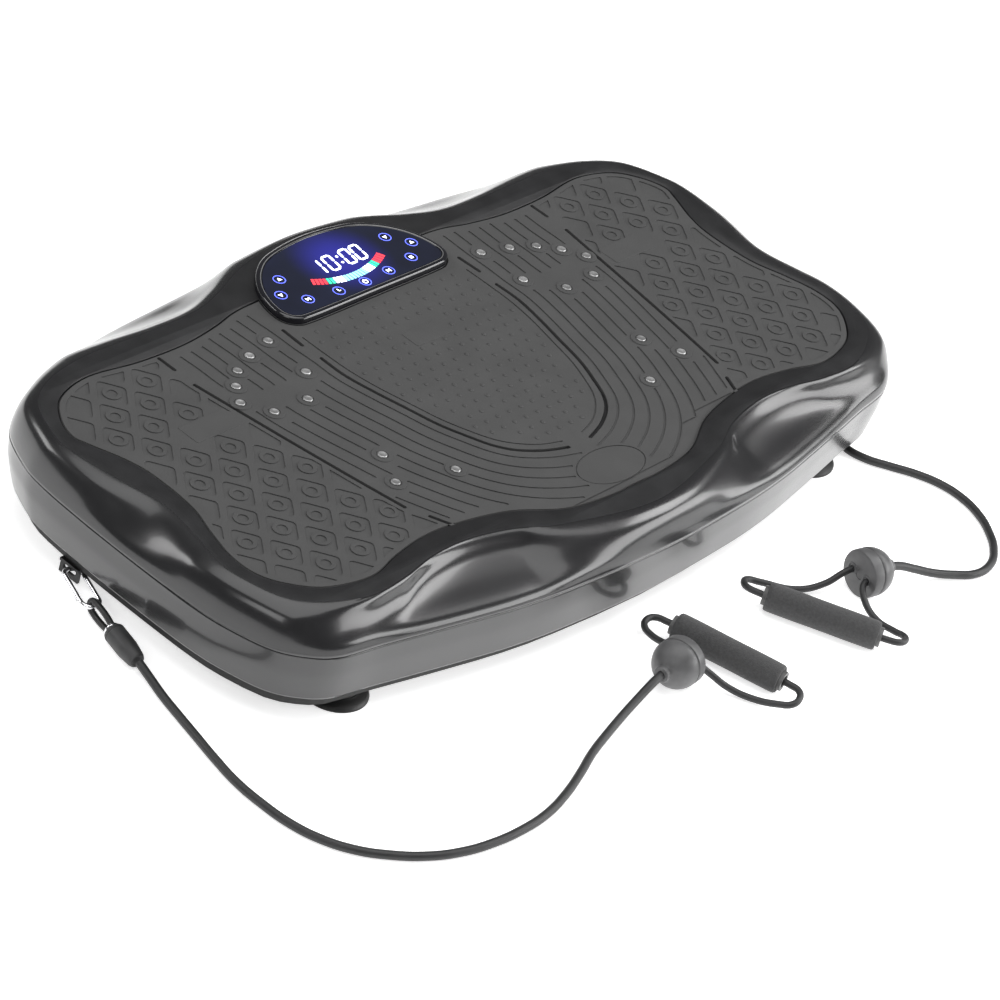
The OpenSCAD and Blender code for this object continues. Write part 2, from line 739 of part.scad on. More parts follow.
// The routes, measured from the plate's middle: x, y and height of the cord's middle
LEFT_ROUTE = [
    [-400, -52, 8.6], [-403, -66, 6.6], [-407, -84, 4.2], [-412, -106, 3.5], [-418, -131, 3.5],
    [-424, -156, 3.5], [-429, -183, 3.5], [-430, -210, 3.5], [-428, -236, 3.5],
    [-421, -260, 3.5], [-408, -282, 3.5], [-390, -300, 3.5], [-367, -316, 3.5],
    [-341, -327, 3.5], [-313, -333, 3.5], [-284, -335, 3.5], [-254, -333, 3.5],
    [-225, -326, 3.5], [-197, -316, 3.5], [-170, -305, 3.5], [-144, -297, 4.5],
    [-120, -291, 7.5], [-98, -287, 12.5], [-82, -285, 17.8], [-69, -283.3, 20.2]
];
RIGHT_ROUTE = [
    [381, -54, 8.6], [381, -68, 6.6], [379, -84, 4.2], [372, -100, 3.5], [361, -114, 3.5],
    [347, -127, 3.5], [334, -141, 3.5], [327, -158, 3.5], [330, -176, 3.5], [341, -195, 3.5],
    [353, -214, 3.5], [361, -235, 3.5], [362, -257, 3.5], [356, -279, 3.5], [344, -299, 3.5],
    [328, -316, 3.5], [308, -327, 3.5], [287, -328, 3.5], [267, -319, 4.5], [249, -310, 7.5],
    [233, -302, 12.5], [218, -296.5, 17.8], [205, -293.5, 20.2]
];
function behind(route) = [for (p = route) [p[0], p[1] + plate_y, p[2]]];
module pull_cord_left() { color("#2c2c2c") tube(behind(LEFT_ROUTE), cord_d / 2, 10); }
module pull_cord_right() { color("#2c2c2c") tube(behind(RIGHT_ROUTE), cord_d / 2, 10); }

// Ball stoppers: middle of the flat face, and the way the dome points
ball_z = 20.2;
BALL = [[-38, -280], [175, -287]];
BALL_TURN = [186, -12];
module ball_stopper(i) {
    r = ball_d / 2;
    color("#707070") translate([BALL[i][0], BALL[i][1] + plate_y, ball_z])
        rotate([0, 0, BALL_TURN[i]]) rotate([0, 90, 0]) difference() {
            rotate_extrude() difference() {
                union() {
                    square([r, 10]);
                    intersection() {
                        translate([0, 10]) circle(r);
                        translate([0, 9]) square([r, r]);
                    }
                    square([6.5, 33]);
                }
                translate([r - 0.8, 9]) square([3, 1]);
            }
            for (y = [-9, 9]) translate([0, y, -1]) cylinder(r = loop_d / 2 + 0.4, h = 9);
        }
}
module ball_stopper_left() { ball_stopper(0); }
module ball_stopper_right() { ball_stopper(1); }

// Grips: middle, and the way each lies
grip_z = 12.2;
GRIP = [[8, -289], [114, -300]];
GRIP_TURN = [-76, -64];
tube_in_r = 5;
tube_out_r = 8;
tube_l = 98;
module at_grip(i) {
    translate([GRIP[i][0], GRIP[i][1] + plate_y, grip_z]) rotate([0, 0, GRIP_TURN[i]])
        rotate([0, 90, 0]) children();
}
module grip_foam(i) {
    color("#3b3b3b") at_grip(i) difference() {
        cylinder(r = grip_d / 2, h = grip_l, center = true);
        cylinder(r = tube_out_r, h = grip_l + 2, center = true);
    }
}
module grip_tube(i) {
    color("#6a6a6a") at_grip(i) difference() {
        cylinder(r = tube_out_r, h = tube_l, center = true);
        cylinder(r = tube_in_r, h = tube_l + 2, center = true);
    }
}
module grip_foam_left() { grip_foam(0); }
module grip_foam_right() { grip_foam(1); }
module grip_tube_left() { grip_tube(0); }
module grip_tube_right() { grip_tube(1); }

// The two loops, measured from the middle of each grip: along the grip, towards its
// ball stopper, and height
LOOP = [
    [[-29, 46, 20.2], [-31, 34, 18], [-42, 26, 12], [-56, 22, 10], [-65, 17, 11], [-67, 9, 12],
     [-63, 2, 12.2], [-54, 0, 12.2], [54, 0, 12.2], [63, 2, 12.2], [67, 9, 11], [65, 17, 9],
     [56, 22, 7], [36, 27, 4], [16, 31, 6], [0, 35, 13], [-8, 40, 18.5], [-11, 46, 20.2]],
    [[10.4, 69, 20.2], [3, 60, 17], [-8, 48, 9], [-26, 35, 4], [-56, 22, 7], [-65, 17, 9],
     [-67, 9, 11], [-63, 2, 12.2], [-54, 0, 12.2], [54, 0, 12.2], [63, 2, 12.2], [67, 9, 11],
     [65, 17, 9], [56, 22, 7], [40, 30, 6], [26, 41, 12], [21, 51, 18.5], [24.6, 58, 20.2]]
];
function from_grip(i) = let(t = GRIP_TURN[i], s = i ? 1 : -1)
    [for (p = LOOP[i])
        [GRIP[i][0] + p[0] * cos(t) - s * p[1] * sin(t),
         GRIP[i][1] + plate_y + p[0] * sin(t) + s * p[1] * cos(t), p[2]]];
module handle_loop_left() { color("#2c2c2c") tube(from_grip(0), loop_d / 2, 8); }
module handle_loop_right() { color("#2c2c2c") tube(from_grip(1), loop_d / 2, 8); }

base_pan();
suction_feet();
foot_screws();
anchor_bracket_left();
anchor_bracket_right();
anchor_screws();
pivot_brackets();
pivot_shaft();
pillow_blocks();
crank_bearings();
motor_can();
motor_bracket();
drive_belt();
power_board();
speaker();
frame_screws();
crankshaft();
eccentrics();
driven_pulley();
motor_rotor();
motor_pulley();
con_rod_front();
con_rod_rear();
top_shell();
lower_band();
support_frame();
pivot_bushes();
crank_pins();
band_screws();
foot_mat();
magnet_studs();
display_bezel();
display_glass();
display_board();
power_inlet();
switch_housing();
switch_rocker();
carabiner_left();
carabiner_gate_left();
carabiner_right();
carabiner_gate_right();
cord_eye_left();
cord_eye_right();
ferrule_left();
ferrule_right();
pull_cord_left();
pull_cord_right();
ball_stopper_left();
ball_stopper_right();
handle_loop_left();
handle_loop_right();
grip_foam_left();
grip_tube_left();
grip_foam_right();
grip_tube_right();
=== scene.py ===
"""Vibration plate: the looks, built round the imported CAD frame. Lengths are in metres."""
import bpy
import bmesh
import json
import math
import numpy as np
from mathutils import Matrix, Vector
from mathutils.geometry import tessellate_polygon


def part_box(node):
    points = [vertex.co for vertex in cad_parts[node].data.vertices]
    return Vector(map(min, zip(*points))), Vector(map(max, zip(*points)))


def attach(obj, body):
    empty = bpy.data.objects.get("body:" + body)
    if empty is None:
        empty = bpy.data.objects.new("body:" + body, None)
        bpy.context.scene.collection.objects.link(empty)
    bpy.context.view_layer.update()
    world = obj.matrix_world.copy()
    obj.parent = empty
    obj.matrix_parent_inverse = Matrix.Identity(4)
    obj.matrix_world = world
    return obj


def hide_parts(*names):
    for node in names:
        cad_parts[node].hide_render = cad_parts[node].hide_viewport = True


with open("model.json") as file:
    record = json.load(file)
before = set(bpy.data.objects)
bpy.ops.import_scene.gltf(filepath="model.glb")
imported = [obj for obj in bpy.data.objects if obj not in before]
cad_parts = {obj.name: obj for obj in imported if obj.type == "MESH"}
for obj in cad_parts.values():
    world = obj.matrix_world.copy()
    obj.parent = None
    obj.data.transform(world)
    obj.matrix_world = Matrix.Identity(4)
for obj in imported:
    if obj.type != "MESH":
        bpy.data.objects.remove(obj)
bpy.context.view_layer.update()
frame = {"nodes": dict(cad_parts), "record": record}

MM = 0.001
# The plate's middle lies this far behind the origin: half way across the band's own depth
shell_lo, shell_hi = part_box("lower_band")
PLATE_Y = (shell_lo.y + shell_hi.y) / 2
# Levels in millimetres, as every outline below is
DECK_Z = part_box("display_bezel")[0].z / MM
PARTING_Z = shell_hi.z / MM
BAND_LOW_Z = shell_lo.z / MM
MAT_LOW_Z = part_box("foot_mat")[0].z / MM
MAT_TOP_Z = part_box("foot_mat")[1].z / MM
DISPLAY_TOP_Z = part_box("display_bezel")[1].z / MM
SHELL_WALL = 3


def dial(node, **values):
    """Sets a shader node's own sockets: an underscore stands for the space in a name."""
    for name, value in values.items():
        node.inputs[name.replace("_", " ")].default_value = value


# ---- camera, floor and light ----

def make_camera():
    """Long lens, from the front left and above, rolled a little anticlockwise."""
    azimuth, elevation, roll = (math.radians(a) for a in (-57.5527, 34.4497, 16.4424))
    back = Vector((math.sin(azimuth) * math.cos(elevation),
                   -math.cos(azimuth) * math.cos(elevation), math.sin(elevation)))
    right = Vector((math.cos(azimuth), math.sin(azimuth), 0))
    up = back.cross(right)
    rolled_right = math.cos(roll) * right + math.sin(roll) * up
    rolled_up = math.cos(roll) * up - math.sin(roll) * right
    data = bpy.data.cameras.new("camera")
    data.sensor_width = 36
    data.lens = 174.878
    data.clip_start, data.clip_end = 0.1, 50
    cam = bpy.data.objects.new("camera", data)
    place = Vector((-2.6582, PLATE_Y - 1.7464, 2.1683))
    turn = Matrix((rolled_right, rolled_up, back)).transposed()
    cam.matrix_world = Matrix.Translation(place) @ turn.to_4x4()
    bpy.context.scene.collection.objects.link(cam)
    bpy.context.scene.camera = cam
    return cam


def softbox(name, place, target, size, power):
    """A rectangular lamp that faces its target."""
    data = bpy.data.lights.new(name, "AREA")
    data.shape = "RECTANGLE"
    data.size, data.size_y = size
    data.energy = power
    lamp = bpy.data.objects.new(name, data)
    lamp.location = place
    lamp.rotation_mode = "QUATERNION"
    lamp.rotation_quaternion = (Vector(target) - Vector(place)).to_track_quat("-Z", "Y")
    bpy.context.scene.collection.objects.link(lamp)
    return lamp


def make_studio():
    """White floor and pale surroundings, lit by five soft boxes."""
    world = bpy.data.worlds.new("studio")
    world.use_nodes = True
    dial(world.node_tree.nodes["Background"], Color=(1, 1, 1, 1), Strength=0.16)
    bpy.context.scene.world = world
    bpy.context.scene.view_settings.view_transform = "Standard"
    bpy.ops.mesh.primitive_plane_add(size=24, location=(0, 0, 0))
    floor = bpy.context.object
    floor.name = "floor"
    mat = bpy.data.materials.new("floor_white")
    mat.use_nodes = True
    dial(mat.node_tree.nodes["Principled BSDF"], Base_Color=(0.97, 0.97, 0.97, 1),
         Roughness=0.9, Emission_Color=(1, 1, 1, 1), Emission_Strength=0.6)
    floor.data.materials.append(mat)
    softbox("top_box", (0, 0, 3.0), (0, 0, 0), (3.4, 3.4), 75)
    softbox("right_box", (2.2, -2.4, 1.1), (0, 0, 0.1), (2.8, 1.3), 70)
    softbox("left_box", (-2.7, -0.5, 2.0), (0, 0, 0.08), (1.7, 1.1), 18)
    softbox("scoop_box", (2.3, -0.9, 2.3), (0, -0.15, 0.08), (1.2, 1.0), 32)
    softbox("back_box", (-1.6, 2.6, 1.8), (0, 0, 0.08), (1.6, 0.8), 24)


make_camera()
make_studio()


# ---- materials ----

def material(name, colour, rough, metal=0.0, shift=0.25, grain=60.0, bump=0.05, bump_grain=400.0,
             bump_depth=0.0002, coat=0.0, coat_rough=0.05, ior=1.5, sheen=0.0, spread=0.08):
    """Colour and roughness wander with a soft noise, and a finer noise gives the surface grain."""
    mat = bpy.data.materials.new(name)
    mat.use_nodes = True
    tree = mat.node_tree
    shader = tree.nodes["Principled BSDF"]
    dial(shader, Metallic=metal, IOR=ior, Coat_Weight=coat, Coat_Roughness=coat_rough,
         Sheen_Weight=sheen)
    place = tree.nodes.new("ShaderNodeTexCoord")
    wander = tree.nodes.new("ShaderNodeTexNoise")
    dial(wander, Scale=grain, Detail=4)
    tree.links.new(place.outputs["Object"], wander.inputs["Vector"])
    ramp = tree.nodes.new("ShaderNodeValToRGB")
    ramp.color_ramp.elements[0].position = 0.3
    ramp.color_ramp.elements[1].position = 0.7
    ramp.color_ramp.elements[0].color = (*[c * (1 - shift) for c in colour], 1)
    ramp.color_ramp.elements[1].color = (*[min(1, c * (1 + shift)) for c in colour], 1)
    tree.links.new(wander.outputs["Fac"], ramp.inputs["Fac"])
    tree.links.new(ramp.outputs["Color"], shader.inputs["Base Color"])
    band = tree.nodes.new("ShaderNodeMapRange")
    dial(band, To_Min=max(0.0, rough - spread), To_Max=min(1.0, rough + spread))
    tree.links.new(wander.outputs["Fac"], band.inputs["Value"])
    tree.links.new(band.outputs["Result"], shader.inputs["Roughness"])
    fine = tree.nodes.new("ShaderNodeTexNoise")
    dial(fine, Scale=bump_grain, Detail=3)
    tree.links.new(place.outputs["Object"], fine.inputs["Vector"])
    relief = tree.nodes.new("ShaderNodeBump")
    dial(relief, Strength=bump, Distance=bump_depth)
    tree.links.new(fine.outputs["Fac"], relief.inputs["Height"])
    tree.links.new(relief.outputs["Normal"], shader.inputs["Normal"])
    return mat


def glow(name, colour, strength):
    """A printed sign lit from behind: its brightness wanders a little, as a light guide's does."""
    mat = material(name, colour, 0.3, shift=0.05, bump=0.0)
    tree = mat.node_tree
    shader = tree.nodes["Principled BSDF"]
    ramp = tree.nodes["Color Ramp"]
    tree.links.new(ramp.outputs["Color"], shader.inputs["Emission Color"])
    shader.inputs["Emission Strength"].default_value = strength
    return mat


LOOKS = {
    "gloss_shell": dict(colour=(0.012, 0.012, 0.013), rough=0.24, spread=0.03, grain=9,
                        shift=0.1, bump=0.02, bump_grain=14, coat=0.35, coat_rough=0.1),
    "deck_rim": dict(colour=(0.016, 0.016, 0.017), rough=0.42, ior=1.4, grain=40, bump=0.12,
                     bump_grain=900, coat=0.05),
    "band_gloss": dict(colour=(0.022, 0.022, 0.023), rough=0.24, spread=0.03, grain=8, shift=0.08,
                       bump=0.02, bump_grain=16, coat=0.4, coat_rough=0.08),
    "pan_plastic": dict(colour=(0.008, 0.008, 0.008), rough=0.55, bump=0.2, bump_grain=700),
    "mat_rubber": dict(colour=(0.066, 0.066, 0.066), rough=0.7, ior=1.35, shift=0.07, grain=30,
                       bump=0.25, bump_grain=1100, bump_depth=0.0003, spread=0.05),
    "foot_rubber": dict(colour=(0.01, 0.01, 0.01), rough=0.5, bump=0.1),
    "eye_rubber": dict(colour=(0.009, 0.009, 0.009), rough=0.45, bump=0.1),
    "ferrule_rubber": dict(colour=(0.035, 0.035, 0.036), rough=0.5, bump=0.15, bump_grain=700),
    "cord_rubber": dict(colour=(0.022, 0.022, 0.023), rough=0.48, bump=0.2, bump_grain=800),
    "stopper_plastic": dict(colour=(0.1, 0.1, 0.102), rough=0.42, bump=0.12, bump_grain=600),
    "grip_foam": dict(colour=(0.06, 0.06, 0.061), rough=0.9, bump=0.9, bump_grain=900,
                      bump_depth=0.0006, sheen=0.15, shift=0.2, grain=500),
    "grip_tube": dict(colour=(0.1, 0.1, 0.1), rough=0.45),
    "stud_metal": dict(colour=(0.42, 0.42, 0.42), rough=0.38, metal=0.75, bump=0.15,
                       bump_grain=500),
    "bezel_gloss": dict(colour=(0.006, 0.006, 0.009), rough=0.12, spread=0.02, coat=0.5,
                        bump=0.0),
    "bezel_line": dict(colour=(0.3, 0.3, 0.3), rough=0.3, metal=0.6, bump=0.0),
    "display_glass": dict(colour=(0.007, 0.01, 0.028), rough=0.1, spread=0.02, coat=0.5,
                          shift=0.4, grain=14, bump=0.0),
    "anchor_steel": dict(colour=(0.008, 0.008, 0.008), rough=0.4, bump=0.25, bump_grain=600),
    "hook_chrome": dict(colour=(0.86, 0.86, 0.88), rough=0.12, metal=1.0, spread=0.04,
                        shift=0.04, bump=0.05),
    "screw_steel": dict(colour=(0.55, 0.55, 0.55), rough=0.35, metal=1.0, shift=0.1, bump=0.2),
    "bracket_steel": dict(colour=(0.2, 0.21, 0.22), rough=0.45, metal=0.3, bump=0.2),
    "shaft_steel": dict(colour=(0.6, 0.6, 0.61), rough=0.22, metal=1.0, shift=0.08, bump=0.1),
    "cast_block": dict(colour=(0.12, 0.125, 0.13), rough=0.7, metal=0.4, bump=0.6,
                       bump_grain=250, bump_depth=0.0006),
    "bearing_steel": dict(colour=(0.68, 0.68, 0.69), rough=0.2, metal=1.0, shift=0.05, bump=0.1),
    "motor_paint": dict(colour=(0.03, 0.032, 0.036), rough=0.4, bump=0.25, bump_grain=500),
    "belt_rubber": dict(colour=(0.012, 0.012, 0.012), rough=0.7, bump=0.4, bump_grain=350),
    "circuit_board": dict(colour=(0.02, 0.12, 0.05), rough=0.35, shift=0.35, grain=120,
                          bump=0.3, bump_grain=300),
    "speaker_plastic": dict(colour=(0.018, 0.018, 0.018), rough=0.6, bump=0.3),
    "frame_paint": dict(colour=(0.05, 0.052, 0.056), rough=0.5, bump=0.3, bump_grain=350),
    "bush_bronze": dict(colour=(0.55, 0.36, 0.16), rough=0.3, metal=1.0, bump=0.15),
    "socket_plastic": dict(colour=(0.013, 0.013, 0.013), rough=0.42, bump=0.15),
    "rocker_plastic": dict(colour=(0.2, 0.012, 0.01), rough=0.25, bump=0.05, coat=0.2),
    "pulley_plastic": dict(colour=(0.02, 0.02, 0.02), rough=0.5, bump=0.2),
    "rotor_steel": dict(colour=(0.42, 0.26, 0.12), rough=0.4, metal=0.9, bump=0.4,
                        bump_grain=300),
    "rod_aluminium": dict(colour=(0.5, 0.5, 0.52), rough=0.38, metal=1.0, bump=0.3,
                          bump_grain=350),
}
# Colour and strength of the lit signs
LIT = {
    "led_white": ((0.75, 0.8, 1.0), 3.2),
    "led_ring": ((0.12, 0.16, 1.0), 1.6),
    "led_red": ((1.0, 0.05, 0.07), 1.1),
    "led_green": ((0.05, 0.75, 0.4), 1.0),
    "led_cyan": ((0.3, 0.75, 0.95), 1.2),
}
MATERIALS = {name: material(name, **look) for name, look in LOOKS.items()}
MATERIALS.update({name: glow(name, *look) for name, look in LIT.items()})


def dress_frame():
    """Every CAD node takes the material of its slot in the record."""
    for part in frame["record"]["subparts"]:
        node = frame["nodes"][part["node"]]
        look = MATERIALS[part["material_slot"]]
        if not node.material_slots:
            node.data.materials.append(look)
        for holder in node.material_slots:
            holder.material = look


dress_frame()


# ---- plane geometry, in millimetres from the plate's middle ----

def knit(points, per, closed):
    """Smooth line through the points, with per steps to each stretch."""
    p = np.array(points, float)
    n = len(p)
    out = []
    steps = np.arange(per) / per
    for i in range(n if closed else n - 1):
        if closed:
            a, b, c, d = p[i - 1], p[i], p[(i + 1) % n], p[(i + 2) % n]
        else:
            a, b, c, d = p[max(i - 1, 0)], p[i], p[i + 1], p[min(i + 2, n - 1)]
        for t in steps:
            out.append(0.5 * (2 * b + (c - a) * t + (2 * a - 5 * b + 4 * c - d) * t * t
                              + (3 * b - a - 3 * c + d) * t ** 3))
    if not closed:
        out.append(p[-1])
    return np.array(out)


def mirrored(half, open_ended=False):
    """The closed outline whose right half this is."""
    half = [list(q) for q in half]
    last = len(half) if open_ended else len(half) - 1
    return np.array(half + [[-q[0], q[1]] for q in half[last - 1:0:-1]], float)


def on_both_sides(places, sides):
    """Every place on each of the plate's two sides, in that order of sides."""
    return [(side * x, y) for x, y in places for side in sides]


def grow(loop, d):
    """Moves a closed anticlockwise outline outwards by d."""
    p = np.array(loop, float)
    t = np.roll(p, -1, 0) - np.roll(p, 1, 0)
    t /= np.linalg.norm(t, axis=1)[:, None]
    return p + d * np.stack([t[:, 1], -t[:, 0]], 1)


def area(loop):
    """Positive for an anticlockwise outline."""
    p = np.array(loop, float)
    q = np.roll(p, -1, 0)
    return 0.5 * float(np.sum(p[:, 0] * q[:, 1] - q[:, 0] * p[:, 1]))


def wound(loop):
    """The outline, anticlockwise."""
    return loop if area(loop) > 0 else loop[::-1]


def inside(loop, q):
    """Whether the point q is in the closed outline."""
    p = np.array(loop, float)
    r = np.roll(p, -1, 0)
    crosses = (p[:, 1] > q[1]) != (r[:, 1] > q[1])
    with np.errstate(divide="ignore", invalid="ignore"):
        x = p[:, 0] + (q[1] - p[:, 1]) * (r[:, 0] - p[:, 0]) / (r[:, 1] - p[:, 1])
    return bool(np.count_nonzero(crosses & (q[0] < x)) % 2)


def clip(subject, window):
    """The part of an outline inside a convex anticlockwise window."""
    out = [np.array(q, float) for q in subject]
    for i in range(len(window)):
        a, b = np.array(window[i], float), np.array(window[(i + 1) % len(window)], float)
        edge = b - a

        def side(q):
            return edge[0] * (q[1] - a[1]) - edge[1] * (q[0] - a[0])
        kept = []
        for j, q in enumerate(out):
            before = out[j - 1]
            sq, sb = side(q), side(before)
            if (sq >= 0) != (sb >= 0):
                kept.append(before + (q - before) * sb / (sb - sq))
            if sq >= 0:
                kept.append(q)
        out = kept
        if len(out) < 3:
            return []
    return tidy(out)


def tidy(loop, gap=0.35):
    """Drops points that lie closer together than gap."""
    kept = []
    for q in loop:
        if not kept or np.linalg.norm(q - kept[-1]) > gap:
            kept.append(q)
    while len(kept) > 3 and np.linalg.norm(kept[0] - kept[-1]) <= gap:
        kept.pop()
    return kept


def ribbon(path, width, caps=5):
    """Closed anticlockwise outline of a strip along a line, with round ends."""
    p = np.array(path, float)
    t = np.gradient(p, axis=0)
    t /= np.linalg.norm(t, axis=1)[:, None]
    n = np.stack([-t[:, 1], t[:, 0]], 1) * width / 2
    out = list(p - n)
    for i in range(1, caps):
        a = -math.pi / 2 + math.pi * i / caps
        out.append(p[-1] + width / 2 * (math.cos(a) * t[-1])
                   + n[-1] * math.sin(a))
    out += list((p + n)[::-1])
    for i in range(1, caps):
        a = math.pi / 2 + math.pi * i / caps
        out.append(p[0] + width / 2 * (math.cos(a) * t[0]) + n[0] * math.sin(a))
    return np.array(out)


def ring(centre, rx, ry=None, count=32):
    ry = rx if ry is None else ry
    return np.array([[centre[0] + rx * math.cos(2 * math.pi * i / count),
                      centre[1] + ry * math.sin(2 * math.pi * i / count)] for i in range(count)])


def rounded(corners, radius, steps=4):
    """A convex outline with its corners rounded off."""
    p = np.array(corners, float)
    out = []
    for i in range(len(p)):
        a, b, c = p[i - 1], p[i], p[(i + 1) % len(p)]
        u, v = (a - b) / np.linalg.norm(a - b), (c - b) / np.linalg.norm(c - b)
        half = math.acos(max(-1, min(1, float(u @ v)))) / 2
        reach = radius / math.tan(half)
        for k in range(steps + 1):
            t = k / steps
            q = (1 - t) ** 2 * (b + u * reach) + 2 * t * (1 - t) * b + t * t * (b + v * reach)
            out.append(q)
    return np.array(out)


# ---- mesh building ----

class Build:
    """Collects points in plate millimetres and faces, and makes one object of them."""

    def __init__(self):
        self.points = []
        self.faces = []
        self.tint = []

    def add(self, ring_points):
        start = len(self.points)
        self.points += [tuple(float(c) for c in q) for q in ring_points]
        return list(range(start, len(self.points)))

    def face(self, corners, tint=0):
        self.faces.append(tuple(corners))
        self.tint.append(tint)

    def skin(self, low, high, tint=0):
        """Quads between two closed rings, anticlockwise rings facing outwards."""
        n = len(low)
        for i in range(n):
            j = (i + 1) % n
            self.face((low[i], low[j], high[j], high[i]), tint)

    def cap(self, loops, up=True, tint=0):
        """Fills the plane between an outline and its holes."""
        flat = [[Vector((*self.points[i][:2], 0)) for i in loop] for loop in loops]
        index = [i for loop in loops for i in loop]
        for tri in tessellate_polygon(flat):
            a, b, c = (index[k] for k in tri)
            pa, pb, pc = (self.points[k] for k in (a, b, c))
            turn = (pb[0] - pa[0]) * (pc[1] - pa[1]) - (pb[1] - pa[1]) * (pc[0] - pa[0])
            if abs(turn) < 1e-9:
                continue
            if (turn > 0) != up:
                b, c = c, b
            self.face((a, b, c), tint)

    def slab(self, outline, holes, low, high, bevel=0.25, tint=0):
        """A plate with holes, its upper edges bevelled."""
        top_loops, low_loops = [], []
        for k, loop in enumerate([outline] + list(holes)):
            way = -1 if k == 0 else 1
            narrow = grow(loop, way * bevel)
            if k:
                loop, narrow = loop[::-1], narrow[::-1]
            low_ring = self.add([(*q, low) for q in loop])
            mid_ring = self.add([(*q, high - bevel) for q in loop])
            top_ring = self.add([(*q, high) for q in narrow])
            self.skin(low_ring, mid_ring, tint)
            self.skin(mid_ring, top_ring, tint)
            low_loops.append(low_ring)
            top_loops.append(top_ring)
        self.cap(top_loops, True, tint)
        self.cap(low_loops, False, tint)

    def lathe(self, profile, count, tint=0):
        """Turns a profile of radius and height about the local Z axis; both ends on the axis."""
        rings = []
        for r, z in profile:
            if r < 1e-6:
                rings.append(self.add([(0, 0, z)]))
            else:
                rings.append(self.add([(r * math.cos(2 * math.pi * i / count),
                                        r * math.sin(2 * math.pi * i / count), z)
                                       for i in range(count)]))
        for a, b in zip(rings, rings[1:]):
            for i in range(count):
                j = (i + 1) % count
                if len(a) == 1:
                    self.face((a[0], b[j], b[i]), tint)
                elif len(b) == 1:
                    self.face((a[i], a[j], b[0]), tint)
                else:
                    self.face((a[i], a[j], b[j], b[i]), tint)

    def place(self, start, turn):
        """Moves the points added since start by a 4x4 matrix."""
        for i in range(start, len(self.points)):
            self.points[i] = tuple(turn @ Vector(self.points[i]))

    def stand(self, x, y, profile, count):
        """A turned piece that stands at x, y."""
        start = len(self.points)
        self.lathe(profile, count)
        self.place(start, Matrix.Translation((x, y, 0)))

    def make(self, name, body, slot, nodes=(), looks=(), crease=35):
        """One object of it all, riding on a body and standing in for the CAD nodes."""
        mesh = bpy.data.meshes.new(name)
        mesh.from_pydata([(x * MM, y * MM + PLATE_Y, z * MM) for x, y, z in self.points],
                         [], self.faces)
        for look in looks or [slot]:
            mesh.materials.append(MATERIALS[look])
        mesh.polygons.foreach_set("material_index", self.tint)
        work = bmesh.new()
        work.from_mesh(mesh)
        bmesh.ops.remove_doubles(work, verts=work.verts, dist=1e-6)
        bmesh.ops.recalc_face_normals(work, faces=work.faces)
        work.to_mesh(mesh)
        work.free()
        mesh.shade_smooth()
        mesh.set_sharp_from_angle(angle=math.radians(crease))
        obj = bpy.data.objects.new(name, mesh)
        bpy.context.scene.collection.objects.link(obj)
        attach(obj, body)
        if nodes:
            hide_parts(*nodes)
        return obj


# ---- outlines: right halves, from the front middle to the back middle ----

EDGE = [
    [[0, -195], [0, -215]], [[91, -177], [100, -211]], [[134, -159], [158, -205]],
    [[175, -150], [209, -196]], [[213, -150], [250, -188]], [[252, -157], [290, -180]],
    [[290, -159], [329, -173]], [[325, -147], [351, -160]], [[350, -127], [368, -139]],
    [[361, -97], [379, -103]], [[363, -70], [383, -74]], [[356, -42], [384, -40]],
    [[350, -2], [384, 1]], [[358, 40], [383, 46]], [[365, 83], [380, 90]],
    [[361, 108], [374, 116]], [[345, 140], [355, 152]], [[315, 158], [324, 171]],
    [[274, 166], [286, 186]], [[234, 166], [245, 196]], [[190, 165], [200, 204]],
    [[146, 167], [150, 209]], [[113, 176], [105, 212]], [[67, 193], [58, 214]],
    [[0, 202], [0, 215]],
]
MAT_EDGE = [
    [0, -170], [32, -170], [76, -163], [119, -142], [168, -131], [203, -129], [238, -134],
    [273, -142], [311, -134], [333, -118], [347, -97], [349, -72], [342, -44], [332, -13],
    [330, 29], [335, 55], [346, 82], [350, 97], [342, 117], [323, 136], [287, 145],
    [238, 139], [189, 138], [150, 143], [124, 149], [100, 151], [50, 151],
]
BEZEL_EDGE = [
    [0, 110], [70, 110], [88, 113], [96, 124], [94, 143], [85, 162], [68, 179], [44, 190],
    [0, 195],
]
ZONE_SLOTS = [
    [[220, 135], [220, 118]],
    [[220, 96], [214, 57], [207, 12], [197, -48], [188, -97]],
    [[179, -115], [171, -132]],
    [[104, 113], [105, 91]],
    [[104, 71], [104, 46], [99, 19], [92, -9], [85, -37], [76, -59], [66, -79], [53, -93],
     [34, -104], [13, -111]],
]
ZONE_LINE = ZONE_SLOTS[0] + ZONE_SLOTS[1] + ZONE_SLOTS[2]
STUDS = [
    [126, 108.5], [154, 101.5], [177, 92], [193, 78], [205.5, 61], [129, 64], [154, 38],
    [190, 39.5], [155, -42.5], [171.5, -72], [117, -85],
]
PER = 8
crease = knit(mirrored([e[0] for e in EDGE]), PER, True)
parting = knit(mirrored([e[1] for e in EDGE]), PER, True)
mat_edge = knit(mirrored(MAT_EDGE, True), 6, True)
bezel_edge = knit(mirrored(BEZEL_EDGE), 10, True)


def cross_point(a, b, loop):
    """Where the stretch from a to b first crosses an outline."""
    best = None
    for i in range(len(loop)):
        c, d = loop[i - 1], loop[i]
        u, v = b - a, d - c
        det = u[0] * v[1] - u[1] * v[0]
        if abs(det) < 1e-12:
            continue
        w = c - a
        s = (w[0] * v[1] - w[1] * v[0]) / det
        t = (w[0] * u[1] - w[1] * u[0]) / det
        if 0 <= s <= 1 and 0 <= t <= 1 and (best is None or s < best):
            best = s
    return a + (b - a) * best


